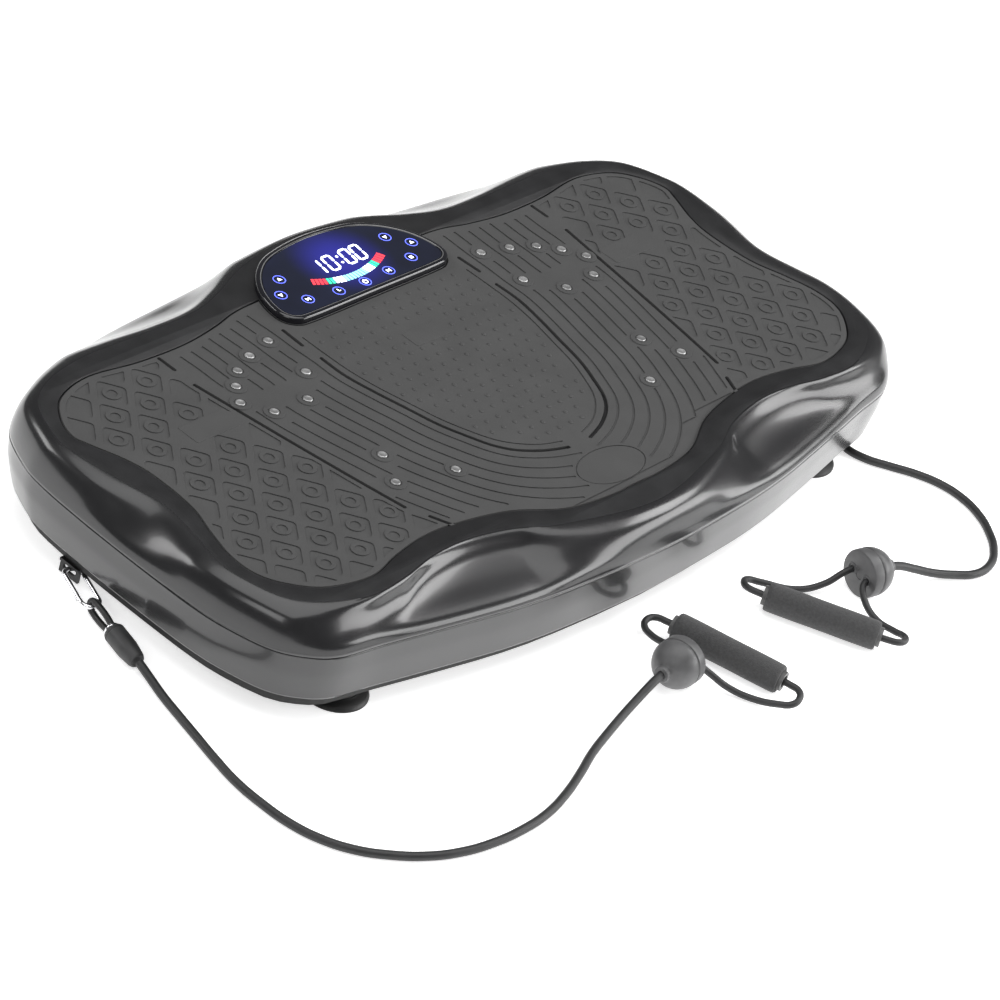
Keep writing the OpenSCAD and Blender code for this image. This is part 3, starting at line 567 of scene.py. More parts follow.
def beside_display(outer, hole):
    """The outline of the mat or its recess, cut back round the display's outline."""
    half = []
    right = [q for q in outer[:len(outer) // 2 + 1] if q[0] > -1e-6]
    for a, b in zip(right, right[1:]):
        half.append(a)
        if inside(hole, b) and b[1] > 100:
            half.append(cross_point(a, b, hole))
            break
    y = half[-1][1]
    front = [q for q in hole if q[0] > 0.5 and q[1] < y - 0.3 and (q[0] > 60 or q[1] < 120)]
    front = sorted(front, key=lambda q: math.atan2(q[1] - 135, q[0]), reverse=True)
    half += front
    half.append(np.array([0.0, float(np.min(hole[:, 1]))]))
    return mirrored(tidy(half, 0.3))


recess_edge = beside_display(grow(mat_edge, 1.2), grow(bezel_edge, 0.3))
mat_outline = beside_display(mat_edge, grow(bezel_edge, 1.2))


# ---- pull cords ----

LEFT_ROUTE = [
    [-400, -52, 8.6], [-403, -66, 6.6], [-407, -84, 4.2], [-412, -106, 3.5], [-418, -131, 3.5],
    [-424, -156, 3.5], [-429, -183, 3.5], [-430, -210, 3.5], [-428, -236, 3.5],
    [-421, -260, 3.5], [-408, -282, 3.5], [-390, -300, 3.5], [-367, -316, 3.5],
    [-341, -327, 3.5], [-313, -333, 3.5], [-284, -335, 3.5], [-254, -333, 3.5],
    [-225, -326, 3.5], [-197, -316, 3.5], [-170, -305, 3.5], [-144, -297, 4.5],
    [-120, -291, 7.5], [-98, -287, 12.5], [-82, -285, 17.8], [-69, -283.3, 20.2],
]
RIGHT_ROUTE = [
    [381, -54, 8.6], [381, -68, 6.6], [379, -84, 4.2], [372, -100, 3.5], [361, -114, 3.5],
    [347, -127, 3.5], [334, -141, 3.5], [327, -158, 3.5], [330, -176, 3.5], [341, -195, 3.5],
    [353, -214, 3.5], [361, -235, 3.5], [362, -257, 3.5], [356, -279, 3.5], [344, -299, 3.5],
    [328, -316, 3.5], [308, -327, 3.5], [287, -328, 3.5], [267, -319, 4.5], [249, -310, 7.5],
    [233, -302, 12.5], [218, -296.5, 17.8], [205, -293.5, 20.2],
]
# Handle loops: along the grip, towards its ball stopper, and height
LOOP = [
    [[-29, 46, 20.2], [-31, 34, 18], [-42, 26, 12], [-56, 22, 10], [-65, 17, 11], [-67, 9, 12],
     [-63, 2, 12.2], [-54, 0, 12.2], [54, 0, 12.2], [63, 2, 12.2], [67, 9, 11], [65, 17, 9],
     [56, 22, 7], [36, 27, 4], [16, 31, 6], [0, 35, 13], [-8, 40, 18.5], [-11, 46, 20.2]],
    [[10.4, 69, 20.2], [3, 60, 17], [-8, 48, 9], [-26, 35, 4], [-56, 22, 7], [-65, 17, 9],
     [-67, 9, 11], [-63, 2, 12.2], [-54, 0, 12.2], [54, 0, 12.2], [63, 2, 12.2], [67, 9, 11],
     [65, 17, 9], [56, 22, 7], [40, 30, 6], [26, 41, 12], [21, 51, 18.5], [24.6, 58, 20.2]],
]
SIDES = ("left", "right")
CORD_D, LOOP_D = 7, 5.5
ANCHOR = [[-366, 57], [366, 57]]
HOOK_TURN, EYE_TURN = [-112, -80], [-104.6, -84]
HOOK_L, EYE_Z, EYE_L, FERRULE_L, FERRULE_R = 46, 8.6, 30, 36, 8.4
BALL, BALL_TURN, BALL_Z = [[-38, -280], [175, -287]], [186, -12], 20.2
GRIP, GRIP_TURN, GRIP_Z = [[8, -289], [114, -300]], [-76, -64], 12.2
GRIP_R, GRIP_L, TUBE_R = 12, 92, 8


def in_metres(route):
    return [Vector((x * MM, y * MM + PLATE_Y, z * MM)) for x, y, z in route]


def soft_line(name, points, diameter, body, look, nodes=()):
    """A round smooth line through the points. Its look is also its slot."""
    curve = bpy.data.curves.new(name, "CURVE")
    curve.dimensions = "3D"
    curve.bevel_depth = diameter * MM / 2
    curve.bevel_resolution = 5
    curve.resolution_u = 8
    curve.use_fill_caps = True
    line = curve.splines.new("BEZIER")
    line.bezier_points.add(len(points) - 1)
    for knot, place in zip(line.bezier_points, points):
        knot.co = place
        knot.handle_left_type = knot.handle_right_type = "AUTO"
    curve.materials.append(MATERIALS[look])
    obj = bpy.data.objects.new(name, curve)
    bpy.context.scene.collection.objects.link(obj)
    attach(obj, body)
    if nodes:
        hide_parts(*nodes)
    return obj


def turned(place, turn, tip=0):
    """From local Z to a level direction: turn is the way that local Z points."""
    spin = Matrix.Rotation(math.radians(turn), 4, "Z") @ Matrix.Rotation(math.radians(90), 4, "Y")
    return Matrix.Translation(Vector(place)) @ spin @ Matrix.Rotation(math.radians(tip), 4, "Z")


def from_grip(i):
    """The handle loop's route, laid round its own grip."""
    t, s = math.radians(GRIP_TURN[i]), (1 if i else -1)
    return [[GRIP[i][0] + a * math.cos(t) - s * b * math.sin(t),
             GRIP[i][1] + a * math.sin(t) + s * b * math.cos(t), z] for a, b, z in LOOP[i]]


def hook_end(i):
    """Where the carabiner's far end holds the rubber eye."""
    a = math.radians(HOOK_TURN[i])
    return [ANCHOR[i][0] + HOOK_L * math.cos(a), ANCHOR[i][1] + HOOK_L * math.sin(a), EYE_Z]


def make_ferrule(i):
    """Moulded rubber sleeve with a parting bead, a stepped mouth and a tapered tail."""
    work = Build()
    r, l = FERRULE_R, FERRULE_L
    work.lathe([(0, 0.4), (3.6, 0.4), (4.2, 0), (r - 1.4, 0), (r - 0.5, 0.5), (r, 1.8), (r, 3.2),
                (r - 0.35, 3.6), (r - 0.35, 4.4), (r, 4.8), (r, 21), (r - 0.5, 25),
                (r - 1.5, l - 3), (r - 2.2, l - 1), (r - 3.2, l), (4.1, l), (3.6, l - 0.5),
                (0, l - 0.5)], 40)
    a = math.radians(EYE_TURN[i])
    end = hook_end(i)
    place = (end[0] + EYE_L * math.cos(a), end[1] + EYE_L * math.sin(a), EYE_Z)
    work.place(0, turned(place, EYE_TURN[i]))
    return work.make("cord_sleeve_" + SIDES[i], "base", "ferrule_rubber",
                     ["ferrule_" + SIDES[i]])


def make_eye(i):
    """The rubber eye: a drop-shaped upright loop that goes round the hook."""
    a = math.radians(EYE_TURN[i])
    end = hook_end(i)
    shape = [(31, 3.0), (25, 3.6), (18, 5.0), (10, 5.6), (3, 5.2), (-2.6, 3.7), (-4.9, 0)]
    shape += [(u, -v) for u, v in shape[-2::-1]]
    points = in_metres([[end[0] + u * math.cos(a), end[1] + u * math.sin(a), EYE_Z + v]
                        for u, v in shape])
    eye = soft_line("rubber_eye_" + SIDES[i], points, 5.2, "base", "eye_rubber",
                    ["cord_eye_" + SIDES[i]])
    tie = Build()
    tie.lathe([(0, 27.2), (5.2, 27.2), (6.5, 27.6), (6.7, 28.4), (6.5, 29.2), (5.2, 30.3),
               (0, 30.3)], 28)
    tie.place(0, turned(end, EYE_TURN[i]))
    tie.make("cord_tie_" + SIDES[i], "base", "hook_chrome")
    return eye


def make_ball(i):
    """Ball stopper: a flat-faced base with two cord holes' lips, a seam and a dome."""
    work = Build()
    dome = [(20 * math.cos(t), 10 + 20 * math.sin(t)) for t in np.radians(np.arange(3, 70, 5))]
    work.lathe([(0, 0.6), (4, 0.6), (4.4, 0), (18.2, 0), (19.4, 0.5), (20, 1.7), (20, 8.4),
                (19.6, 8.8), (19.2, 9.0), (19.2, 9.9), (19.6, 10.2)] + dome
               + [(7.2, 28.9), (6.5, 29.6), (6.5, 32.4), (6.1, 33), (0, 33)], 64)
    for y in (-9, 9):
        work.stand(0, y, [(0, 0.3), (3.2, 0.3), (3.4, -0.45), (4.2, -0.6), (4.8, -0.3), (5, 0.3),
                          (0, 0.5)], 24)
    work.place(0, turned((*BALL[i], BALL_Z), BALL_TURN[i]))
    return work.make("cord_ball_" + SIDES[i], "base", "stopper_plastic",
                     ["ball_stopper_" + SIDES[i]])


def make_grip(i):
    """Foam sleeve, slightly crowned, its ends pulled in round the core tube."""
    work = Build()
    half = GRIP_L / 2
    rings = []
    outer = [(TUBE_R, half - 1.2), (9.4, half), (10.8, half - 0.2), (11.6, half - 1.4),
             (11.85, half - 4), (GRIP_R - 0.05, half - 12), (GRIP_R, half - 26),
             (GRIP_R - 0.12, 8), (GRIP_R - 0.12, 0)]
    profile = [(r, -z) for r, z in outer] + [(r, z) for r, z in outer[-2::-1]]
    count = 48
    for r, z in profile:
        rings.append(work.add([(r * math.cos(2 * math.pi * k / count),
                                r * math.sin(2 * math.pi * k / count), z)
                               for k in range(count)]))
    for low, high in zip(rings, rings[1:] + rings[:1]):
        work.skin(low, high)
    work.place(0, turned((*GRIP[i], GRIP_Z), GRIP_TURN[i]))
    grip = work.make("foam_sleeve_" + SIDES[i], "grip_" + SIDES[i], "grip_foam",
                     ["grip_foam_" + SIDES[i]])
    return grip


def make_cords():
    """Both pull cords with what they carry, from the hook to the handle loop."""
    for i, route in enumerate([LEFT_ROUTE, RIGHT_ROUTE]):
        side = SIDES[i]
        eye, ferrule, ball = make_eye(i), make_ferrule(i), make_ball(i)
        grip = make_grip(i)
        points = in_metres(route)
        cord = soft_line("long_cord_" + side, points, CORD_D, "base", "cord_rubber",
                         ["pull_cord_" + side])
        points = in_metres(from_grip(i))
        loop = soft_line("short_loop_" + side, points, LOOP_D, "base", "cord_rubber",
                         ["handle_loop_" + side])


make_cords()


# ---- the two moulded shells ----

NARROW = knit([[0, 0], [0.3, 0.06], [0.6, 0.2], [0.82, 0.45], [0.95, 0.75], [1, 1]], 4, False)
WIDE = knit([[0, 0], [0.07, 0.08], [0.22, 0.33], [0.5, 0.56], [0.88, 0.78], [1, 1]], 4, False)
NARROW_RUN, WIDE_RUN = 24, 48
TABS, TAB_W = [[345, -92], [348, 95], [110, -157], [110, 165]], 14
LEAN_ENDS, LEAN_FRONT, LEAN_BACK = 0.978, 0.985, 0.958
DECK_UNDER_Z = MAT_LOW_Z - SHELL_WALL


def flank_ring(k, upper, lower, top, bottom):
    """The k-th line down the flank: a narrow flank rounds over, a wide one is scooped out."""
    run = np.linalg.norm(lower - upper, axis=1)
    s = np.clip((run - NARROW_RUN) / (WIDE_RUN - NARROW_RUN), 0, 1)[:, None]
    g = (1 - s) * NARROW[k] + s * WIDE[k]
    q = upper + (lower - upper) * g[:, :1]
    return np.column_stack([q, top + (bottom - top) * g[:, 1]])


def level(loop, z):
    return [(x, y, z) for x, y in loop]


def make_top_shell():
    """Flanks, flat rim, the mat's recess, the inner wall and the screw posts."""
    work = Build()
    rings = [work.add(level(grow(parting, -SHELL_WALL), PARTING_Z)),
             work.add(level(grow(parting, -0.6), PARTING_Z)),
             work.add(level(parting, PARTING_Z + 0.6))]
    steps = len(NARROW)
    for k in range(steps - 1, 0, -1):
        rings.append(work.add(flank_ring(k, crease, parting, DECK_Z, PARTING_Z + 3)))
    rings.append(work.add(level(grow(crease, 0.6), DECK_Z - 0.18)))
    rings.append(work.add(level(grow(crease, -0.8), DECK_Z)))
    for low, high in zip(rings, rings[1:]):
        work.skin(low, high)
    edge = [work.add(level(recess_edge, MAT_LOW_Z)),
            work.add(level(recess_edge, DECK_Z - 0.3)),
            work.add(level(grow(recess_edge, 0.3), DECK_Z))]
    work.cap([rings[-1], edge[-1]], True, 1)
    work.skin(edge[1], edge[2], 1)
    work.skin(edge[0], edge[1], 1)
    work.cap([edge[0]], True, 1)
    c_in, p_in = grow(crease, -6), grow(parting, -SHELL_WALL)
    inner = [rings[0]]
    for k in range(steps - 1, -1, -4):
        inner.append(work.add(flank_ring(k, c_in, p_in, DECK_UNDER_Z, PARTING_Z + 2)))
    for low, high in zip(inner, inner[1:]):
        work.skin(low, high)
    work.cap([inner[-1]], False)
    for x, y in on_both_sides(TABS, (-1, 1)):
        work.stand(x, y, [(0, PARTING_Z + 0.1), (6, PARTING_Z + 0.1), (8, DECK_UNDER_Z + 1),
                          (0, DECK_UNDER_Z + 1)], 20)
    work.make("top_shell_skin", "platform", "gloss_shell", ["top_shell"],
              ["gloss_shell", "deck_rim"], crease=50)


def lean(loop, share):
    """The loop drawn in towards the band's bottom edge, least of all at the front."""
    lean_y = np.where(loop[:, 1] < 0, LEAN_FRONT, LEAN_BACK)
    return loop * np.column_stack([np.full(len(loop), 1 - (1 - LEAN_ENDS) * share),
                                   1 - (1 - lean_y) * share])


def cut_opening(band, lo, hi):
    """Cuts the way through the band for the part whose box runs from lo to hi."""
    margin, depth = 0.15 * MM, 0.05
    cutter = bpy.data.meshes.new("cut")
    box = bmesh.new()
    bmesh.ops.create_cube(box, size=1)
    size = (hi.x - lo.x + 2 * margin, depth, hi.z - lo.z + 2 * margin, 1.0)
    centre = Vector(((lo.x + hi.x) / 2, hi.y, (lo.z + hi.z) / 2))
    bmesh.ops.transform(box, matrix=Matrix.Translation(centre) @ Matrix.Diagonal(size),
                        verts=box.verts)
    box.to_mesh(cutter)
    box.free()
    tool = bpy.data.objects.new("cut", cutter)
    bpy.context.scene.collection.objects.link(tool)
    cut = band.modifiers.new("cut", "BOOLEAN")
    cut.object, cut.operation, cut.solver = tool, "DIFFERENCE", "EXACT"
    bpy.context.view_layer.update()
    result = bpy.data.meshes.new_from_object(
        band.evaluated_get(bpy.context.evaluated_depsgraph_get()))
    band.modifiers.clear()
    band.data = result
    bpy.data.objects.remove(tool)


def make_lower_band():
    """The skirt under the parting line: rounded at both edges, open at the back for two parts."""
    work = Build()
    height = PARTING_Z - BAND_LOW_Z
    shares = [(0, 0), (0.2, 0.1), (0.4, 0.22), (0.6, 0.45), (0.8, 0.72), (1, 1)]
    profile = knit(shares, 3, False)
    inner, outer = [], []
    for down, share in profile:
        z = PARTING_Z - height * down
        inner.append(level(grow(lean(parting, share), -SHELL_WALL), z))
        outer.append(level(lean(parting, share), z))
    bottom = lean(parting, 1)
    lip = [level(grow(parting, -0.9), PARTING_Z - 0.1)]
    outer[0] = level(grow(parting, -0.05), PARTING_Z - 0.9)
    outer[-1] = level(grow(bottom, 0.1), BAND_LOW_Z + 2.2)
    foot = [level(grow(bottom, -0.45), BAND_LOW_Z + 0.7),
            level(grow(bottom, -1.6), BAND_LOW_Z)]
    order = inner[::-1] + lip + outer + foot
    rings = [work.add(r) for r in order]
    for low, high in zip(rings, rings[1:] + rings[:1]):
        work.skin(low, high)
    band = work.make("lower_band_skin", "platform", "band_gloss", ["lower_band"], crease=50)
    for node in ("power_inlet", "switch_housing"):
        cut_opening(band, *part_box(node))
    band.data.set_sharp_from_angle(angle=math.radians(50))


def make_band_tabs():
    """The screw tabs that reach in from the band's top edge, clipped to its wall."""
    tabs = Build()
    for x, y in on_both_sides(TABS, (-1, 1)):
        strip = ribbon([(x, y), (x * 1.1, y * 1.3)], TAB_W)
        outline = np.array(clip(grow(parting, -SHELL_WALL / 2), strip))
        tabs.slab(outline, [], PARTING_Z - 3.1, PARTING_Z - 0.15)
    tabs.make("band_tabs", "platform", "band_gloss")


make_top_shell()
make_lower_band()
make_band_tabs()


# ---- foot mat ----

SLOT_W, GROOVE_W, FINE_W, GROOVE_PITCH = 3.2, 2.0, 1.3, 12.6
FIRST_GROOVE, GROOVES = 9.5, 10
TREAD_Z = MAT_TOP_Z - 0.9
# The end zones' diamonds: one of them, the steps to its neighbours, and their shape
CELL_AT = np.array([286.5, 73.7])
CELL_A, CELL_B = np.array([18.55, -22.55]), np.array([-17.12, -24.2])
CELL_SHARE, CELL_CORNER, LEAST_CELL = 0.4, 4.5, 22
CELL_RING_R, CELL_RING_W = 7.6, 3.3
ZONE_MARGIN = 5.5
COMFORT_LABEL, STRONG_LABEL, RELAX_LABEL = (169.5, 53.5), (247, 52), (0, 52.5)
FRONT_OVAL = (0, -144, 35, 19)


def zone_x(y):
    """Where the end zone starts, at a distance y behind the middle."""
    line = knit(ZONE_LINE, 3, False)[::-1]
    return np.interp(y, line[:, 1], line[:, 0])


def near_box(q, centre, half_x, half_y):
    """Whether q lies by a label, on either side of the plate."""
    return abs(abs(q[0]) - centre[0]) < half_x and abs(q[1] - centre[1]) < half_y


def slot_outlines():
    """The slots cut right through the mat, on both sides."""
    out = []
    for path in ZONE_SLOTS:
        line = knit(path, 6 if len(path) > 2 else 2, False)
        for side in (1, -1):
            out.append(wound(ribbon(line * np.array([side, 1]), SLOT_W)))
    return out


def end_zone_cells():
    """Rounded diamonds over the end zone, cut off at its border, and their rings' centres."""
    border = grow(mat_outline, -5)
    front = [q for q in border if q[0] > zone_x(q[1]) + ZONE_MARGIN and q[0] > 150]
    ys = np.linspace(front[-1][1] - 1, front[0][1] + 1, 40)
    zone = front + [np.array([zone_x(y) + ZONE_MARGIN, y]) for y in ys]
    cells, rings = [], []
    for i in range(-8, 14):
        for j in range(-8, 14):
            c = CELL_AT + i * CELL_A + j * CELL_B
            if not (150 < c[0] < 375 and -160 < c[1] < 165):
                continue
            if near_box(c, STRONG_LABEL, 30, 15):
                continue
            tall, wide = CELL_SHARE * (CELL_A + CELL_B), CELL_SHARE * (CELL_A - CELL_B)
            diamond = rounded([c + wide, c - tall, c - wide, c + tall], CELL_CORNER)
            cell = clip(zone, wound(diamond))
            if len(cell) < 4 or area(cell) < LEAST_CELL:
                continue
            cells.append(np.array(cell))
            if all(inside(cell, q) for q in ring(c, CELL_RING_R + 0.6, count=12)):
                rings.append(c)
    return cells, rings


def groove_outlines():
    """Lines that run round the middle zone, broken at labels, studs and the front oval."""
    half = [[0, -113], [13, -111], [34, -104], [53, -93], [66, -79], [76, -59], [85, -37],
            [92, -9], [99, 19], [104, 46], [104, 71], [105, 91], [105, 113], [106, 132],
            [107, 158]]
    line = knit([[-x, y] for x, y in half[:0:-1]] + half, 6, False)
    t = np.gradient(line, axis=0)
    t /= np.linalg.norm(t, axis=1)[:, None]
    normal = np.stack([t[:, 1], -t[:, 0]], 1)
    limit = grow(mat_outline, -ZONE_MARGIN)
    studs = np.array(STUDS)
    out = []
    for k in range(GROOVES):
        path = line + normal * (FIRST_GROOVE + GROOVE_PITCH * k)
        run = []
        for q in list(path) + [None]:
            good = (q is not None and inside(limit, q)
                    and abs(q[0]) < zone_x(q[1]) - ZONE_MARGIN)
            if good:
                away = np.min(np.linalg.norm(studs - [abs(q[0]), q[1]], axis=1))
                u = (q[0] - FRONT_OVAL[0]) / (FRONT_OVAL[2] + 4)
                v = (q[1] - FRONT_OVAL[1]) / (FRONT_OVAL[3] + 4)
                good = (away > 10.5 and not near_box(q, COMFORT_LABEL, 31, 9)
                        and u * u + v * v > 1)
            if good:
                run.append(q)
                continue
            if len(run) > 3:
                out.append(wound(ribbon(np.array(run), GROOVE_W, caps=3)))
            run = []
    return out


def inner_lines():
    """The fine line just inside the middle zone's slot."""
    out = []
    for side in (1, -1):
        line = knit([[97, 98], [97, 71], [96, 47], [92, 21], [85, -7], [78, -34], [69, -56],
                     [60, -73], [48, -86], [31, -97], [12, -103]], 5, False)
        out.append(wound(ribbon(line * np.array([side, 1]), FINE_W, caps=3)))
    return out


def make_mat():
    """The sheet with its slots, and on it the tread: diamonds, grooves, rings, label plates."""
    slots = slot_outlines()
    base = Build()
    base.slab(mat_outline, slots, MAT_LOW_Z, TREAD_Z, bevel=0.1)
    base.make("mat_base", "platform", "mat_rubber", ["foot_mat"])
    cells, rings = end_zone_cells()
    mirror = np.array([-1, 1])
    holes = list(slots) + groove_outlines() + inner_lines()
    holes += cells + [(c * mirror)[::-1] for c in cells]
    x, y, rx, ry = FRONT_OVAL
    holes.append(ring((x, y), rx + 0.8, ry + 0.8, 56))
    tread = Build()
    low = TREAD_Z - 0.05
    tread.slab(grow(mat_outline, -0.35), holes, low, MAT_TOP_Z, bevel=0.22)
    tread.slab(ring((x, y), rx, ry, 56), [], low, MAT_TOP_Z - 0.15, bevel=0.3)
    for centre in on_both_sides(rings, (1, -1)):
        tread.slab(ring(centre, CELL_RING_R, count=28),
                   [ring(centre, CELL_RING_R - CELL_RING_W, count=24)], low, MAT_TOP_Z)
    for centre in on_both_sides(STUDS, (1, -1)):
        tread.slab(ring(centre, 8.8), [ring(centre, 4.8, count=28)], MAT_TOP_Z - 0.1,
                   MAT_TOP_Z + 0.75, bevel=0.4)
    for centre, half_x, half_y in ((RELAX_LABEL, 21.5, 9.5), (STRONG_LABEL, 25, 11)):
        for side in ((1,) if centre[0] == 0 else (1, -1)):
            cx, cy = side * centre[0], centre[1]
            plate = rounded([(cx - half_x, cy - half_y), (cx + half_x, cy - half_y),
                             (cx + half_x, cy + half_y), (cx - half_x, cy + half_y)], 2)
            tread.slab(plate, [], MAT_TOP_Z - 0.1, MAT_TOP_Z + 0.4, bevel=0.3)
    tread.make("mat_tread", "platform", "mat_rubber", crease=30)
    make_domes()


def make_domes():
    """Small domes in a staggered grid over the middle zone."""
    half = [[0, -97], [28, -90], [43, -80], [55, -67], [64, -51], [73, -30], [80, -3], [86, 22],
            [89, 47], [90, 71], [90, 98], [80, 103]]
    zone = mirrored([[x, y] for x, y in half] + [[0, 103]])
    work = Build()
    step, radius, height = 13.5, 2.1, 0.75
    for j in range(-9, 10):
        for i in range(-8, 9):
            q = ((i + 0.5 * (j % 2)) * step, 4 + j * step * 0.87)
            if not inside(zone, q) or near_box(q, RELAX_LABEL, 25, 13):
                continue
            work.stand(*q, [(0, MAT_TOP_Z - 0.2), (radius, MAT_TOP_Z - 0.2), (radius, MAT_TOP_Z),
                            (radius * 0.87, MAT_TOP_Z + height * 0.5),
                            (radius * 0.5, MAT_TOP_Z + height * 0.87),
                            (0, MAT_TOP_Z + height)], 14)
    work.make("mat_domes", "platform", "mat_rubber", crease=60)


def make_studs():
    """Magnet studs: low metal buttons with a dished face and a rolled edge."""
    work = Build()
    low = MAT_TOP_Z
    for x, y in on_both_sides(STUDS, (1, -1)):
        work.stand(x, y, [(0, low - 0.1), (4, low - 0.1), (4, low + 0.7), (3.7, low + 1.2),
                          (3.2, low + 1.4), (2.7, low + 1.25), (0, low + 1.1)], 28)
    work.make("stud_buttons", "platform", "stud_metal", ["magnet_studs"], crease=50)


make_mat()
make_studs()


# ---- display ----

BRIGHT_STEP = 5
DIGITS_Y = 155


def make_bezel():
    """The display's raised border, with a thin bright line round it."""
    work = Build()
    top = DISPLAY_TOP_Z
    steps = [(0, DECK_Z), (0, top - 1.6), (0.4, top - 0.6), (1.4, top), (3.4, top),
             (3.6, top), (4.3, top - 0.05), (5, top - 0.5), (5, top - 2), (8, top - 2),
             (8, DECK_Z)]
    rings = [work.add(level(grow(bezel_edge, -d), z)) for d, z in steps]
    for k in range(len(rings)):
        work.skin(rings[k], rings[(k + 1) % len(rings)], int(k == BRIGHT_STEP))
    work.make("display_frame", "platform", "bezel_gloss", ["display_bezel"],
              ["bezel_gloss", "bezel_line"], crease=40)


def glass_look():
    """Dark glass, lit blue from behind round the digits."""
    look = MATERIALS["display_glass"]
    tree = look.node_tree
    shader = tree.nodes["Principled BSDF"]
    place = tree.nodes["Texture Coordinate"]
    reach = tree.nodes.new("ShaderNodeVectorMath")
    reach.operation = "DISTANCE"
    reach.inputs[1].default_value = (5 * MM, DIGITS_Y * MM + PLATE_Y, DISPLAY_TOP_Z * MM)
    tree.links.new(place.outputs["Object"], reach.inputs[0])
    fade = tree.nodes.new("ShaderNodeMapRange")
    fade.interpolation_type = "SMOOTHSTEP"
    dial(fade, From_Min=0.006, From_Max=0.05, To_Min=0.55, To_Max=0.0)
    tree.links.new(reach.outputs["Value"], fade.inputs["Value"])
    tint = tree.nodes.new("ShaderNodeMix")
    tint.data_type = "RGBA"
    dial(tint, A=(0.0, 0.0, 0.0, 1), B=(0.035, 0.03, 0.62, 1))
    tree.links.new(fade.outputs["Result"], tint.inputs["Factor"])
    tree.links.new(tint.outputs["Result"], shader.inputs["Emission Color"])
    shader.inputs["Emission Strength"].default_value = 1.0


SIGN_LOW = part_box("display_glass")[1].z / MM
SIGN_HIGH = SIGN_LOW + 0.16
SEGMENTS = {"0": "abcdef", "1": "bc"}
DIGIT_W, DIGIT_H, STROKE, SLANT = 8.6, 18, 2.1, 0.16
WHITE, RED, GREEN, CYAN = range(4)


def sign(work, outline, holes=(), tint=0):
    """A flat printed sign on the glass."""
    loop = wound(np.array(outline, float))
    work.slab(loop, holes, SIGN_LOW - 0.05, SIGN_HIGH, bevel=0.04, tint=tint)


def bar(a, b, width):
    """A bar with pointed ends between two points."""
    a, b = np.array(a, float), np.array(b, float)
    u = (b - a) / np.linalg.norm(b - a)
    n = np.array([-u[1], u[0]]) * width / 2
    s = u * width / 2
    return [a, a + s - n, b - s - n, b, b - s + n, a + s + n]


def make_read_out():
    """10:00 in seven-segment digits over an arc of level bars."""
    work = Build()
    h, w = DIGIT_H / 2, DIGIT_W / 2
    lines = {"a": ((-w, h), (w, h)), "b": ((w, h), (w, 0)), "c": ((w, 0), (w, -h)),
             "d": ((-w, -h), (w, -h)), "e": ((-w, 0), (-w, -h)), "f": ((-w, h), (-w, 0))}
    for text, x in (("1", -21.5), ("0", -6.5), ("0", 13), ("0", 25.5)):
        for s in SEGMENTS[text]:
            a, b = (np.array(q) for q in lines[s])
            gap = (b - a) / np.linalg.norm(b - a) * 0.35
            stroke = bar(a + gap, b - gap, STROKE)
            sign(work, [(q[0] + x + SLANT * q[1], q[1] + DIGITS_Y) for q in stroke])
    for y in (-4, 4):
        sign(work, ring((3.8 + SLANT * y, DIGITS_Y + y), 1.25, count=12))
    bars, radius, length, lowest_y = 25, 88, 7.4, 129.5
    spread = math.radians(28)
    for i in range(bars):
        a = -math.pi / 2 + spread * (2 * i / (bars - 1) - 1)
        step = abs(2 * i / (bars - 1) - 1)
        tint = RED if step > 0.72 else GREEN if step > 0.52 else WHITE if step > 0.25 else CYAN
        o = np.array([0, lowest_y + radius])
        way = np.array([math.cos(a), math.sin(a)])
        side = np.array([-way[1], way[0]]) * 1.25
        near, far = o + way * (radius - length), o + way * radius
        sign(work, [near - side, far - side, far + side, near + side], tint=tint)
    work.make("read_out", "platform", "display_glass", [],
              ["led_white", "led_red", "led_green", "led_cyan"], crease=30)


KEYS = [(0, 122.8, "power"), (29.4, 124.2, "skip"), (-29.4, 124.2, "clock"),
        (60.9, 128.4, "stop"), (-60.9, 128.4, "skip"), (77, 143.1, "up"),
        (-77, 143.1, "down"), (62.3, 159.2, "down"), (-62.3, 159.2, "up")]
KEY_R, KEY_LINE = 5.4, 0.75


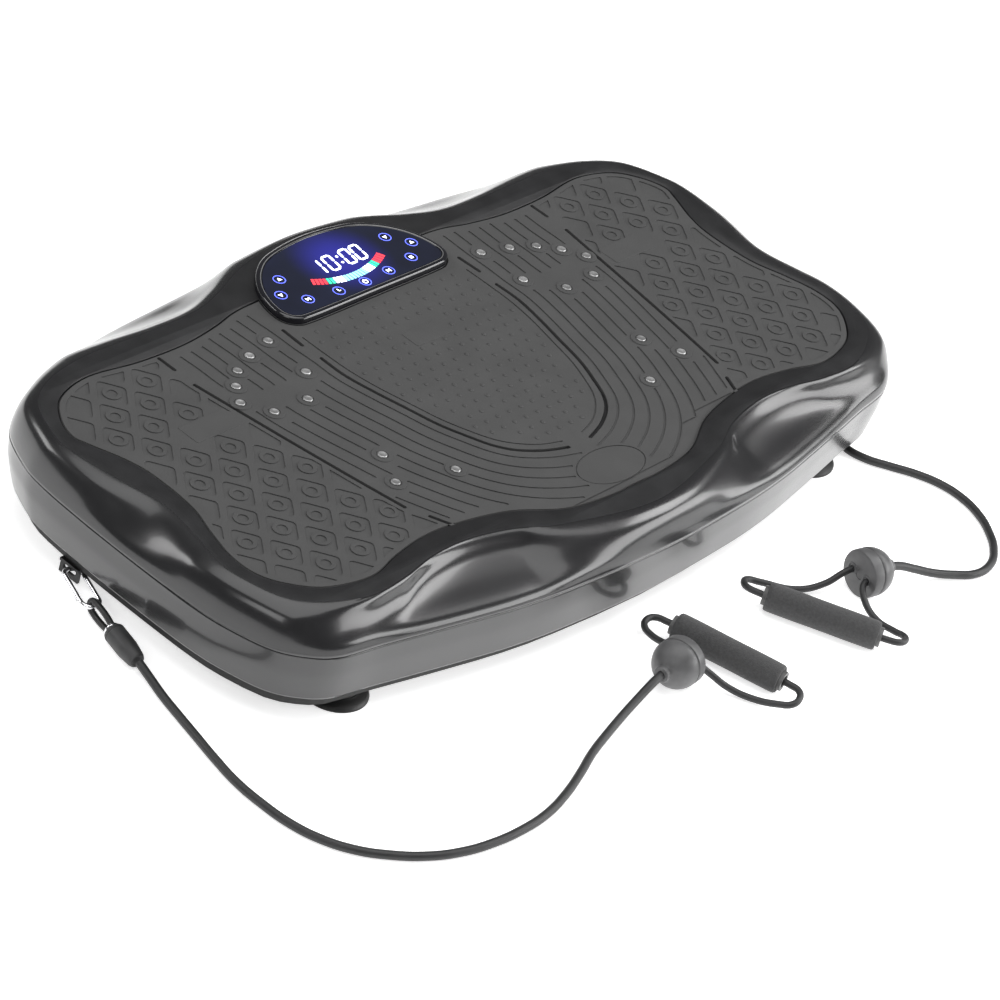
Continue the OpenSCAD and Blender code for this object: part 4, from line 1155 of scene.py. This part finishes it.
def key_glyph(work, kind, x, y):
    """A plain sign in the middle of a key."""
    def at(points):
        return [(x + u, y + v) for u, v in points]
    if kind == "power":
        arc = [(2.2 * math.cos(a), 2.2 * math.sin(a))
               for a in np.radians(np.arange(130, 411, 20))]
        sign(work, ribbon(np.array(at(arc)), 0.7, caps=3))
        sign(work, at(bar((0, 0.2), (0, 3), 0.8)))
    elif kind == "clock":
        sign(work, at(bar((0, -0.3), (0, 2.8), 0.8)))
        sign(work, at(bar((-0.2, -0.2), (2.2, -0.2), 0.8)))
    elif kind == "skip":
        sign(work, at([(-2, -1.8), (0.9, 0), (-2, 1.8)]))
        sign(work, at([(1.2, -1.8), (2, -1.8), (2, 1.8), (1.2, 1.8)]))
    elif kind == "up":
        sign(work, at([(-2.1, -1.3), (2.1, -1.3), (0, 2.2)]))
    elif kind == "down":
        sign(work, at([(-2.1, 1.3), (0, -2.2), (2.1, 1.3)]))
    else:
        sign(work, at([(-1.6, -1.6), (1.6, -1.6), (1.6, 1.6), (-1.6, 1.6)]))


def make_keys():
    """Touch keys: a lit ring round a lit sign each."""
    rings, marks = Build(), Build()
    for x, y, kind in KEYS:
        sign(rings, ring((x, y), KEY_R, count=36), [ring((x, y), KEY_R - KEY_LINE, count=36)])
        key_glyph(marks, kind, x, y)
    rings.make("key_rings", "platform", "display_glass", [], ["led_ring"], crease=30)
    marks.make("key_marks", "platform", "display_glass", [], ["led_white"], crease=30)


make_bezel()
glass_look()
make_read_out()
make_keys()


# ---- feet ----

FOOT_R = 27


def make_feet():
    """Suction feet: a thin skirt, a stepped neck and a rib round the cup."""
    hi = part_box("suction_feet")[1]
    r = FOOT_R
    foot_x = hi.x / MM - r
    foot_y = (hi.y - PLATE_Y) / MM - r
    top = hi.z / MM
    work = Build()
    for x in (-foot_x, foot_x):
        for y in (-foot_y, foot_y):
            work.stand(x, y, [
                (0, 6), (10, 5.5), (17, 3.2), (r - 4.5, 0), (r, 0), (r, 0.9), (r - 0.4, 1.6),
                (r - 2.4, 4), (20, 5), (18.6, 6), (17.6, 5.9), (16, 7.5), (13, 8.6),
                (12, 9.8), (12, top - 1.2), (12, top), (0, top)], 56)
    work.make("foot_cups", "base", "foot_rubber", ["suction_feet"], crease=40)


make_feet()
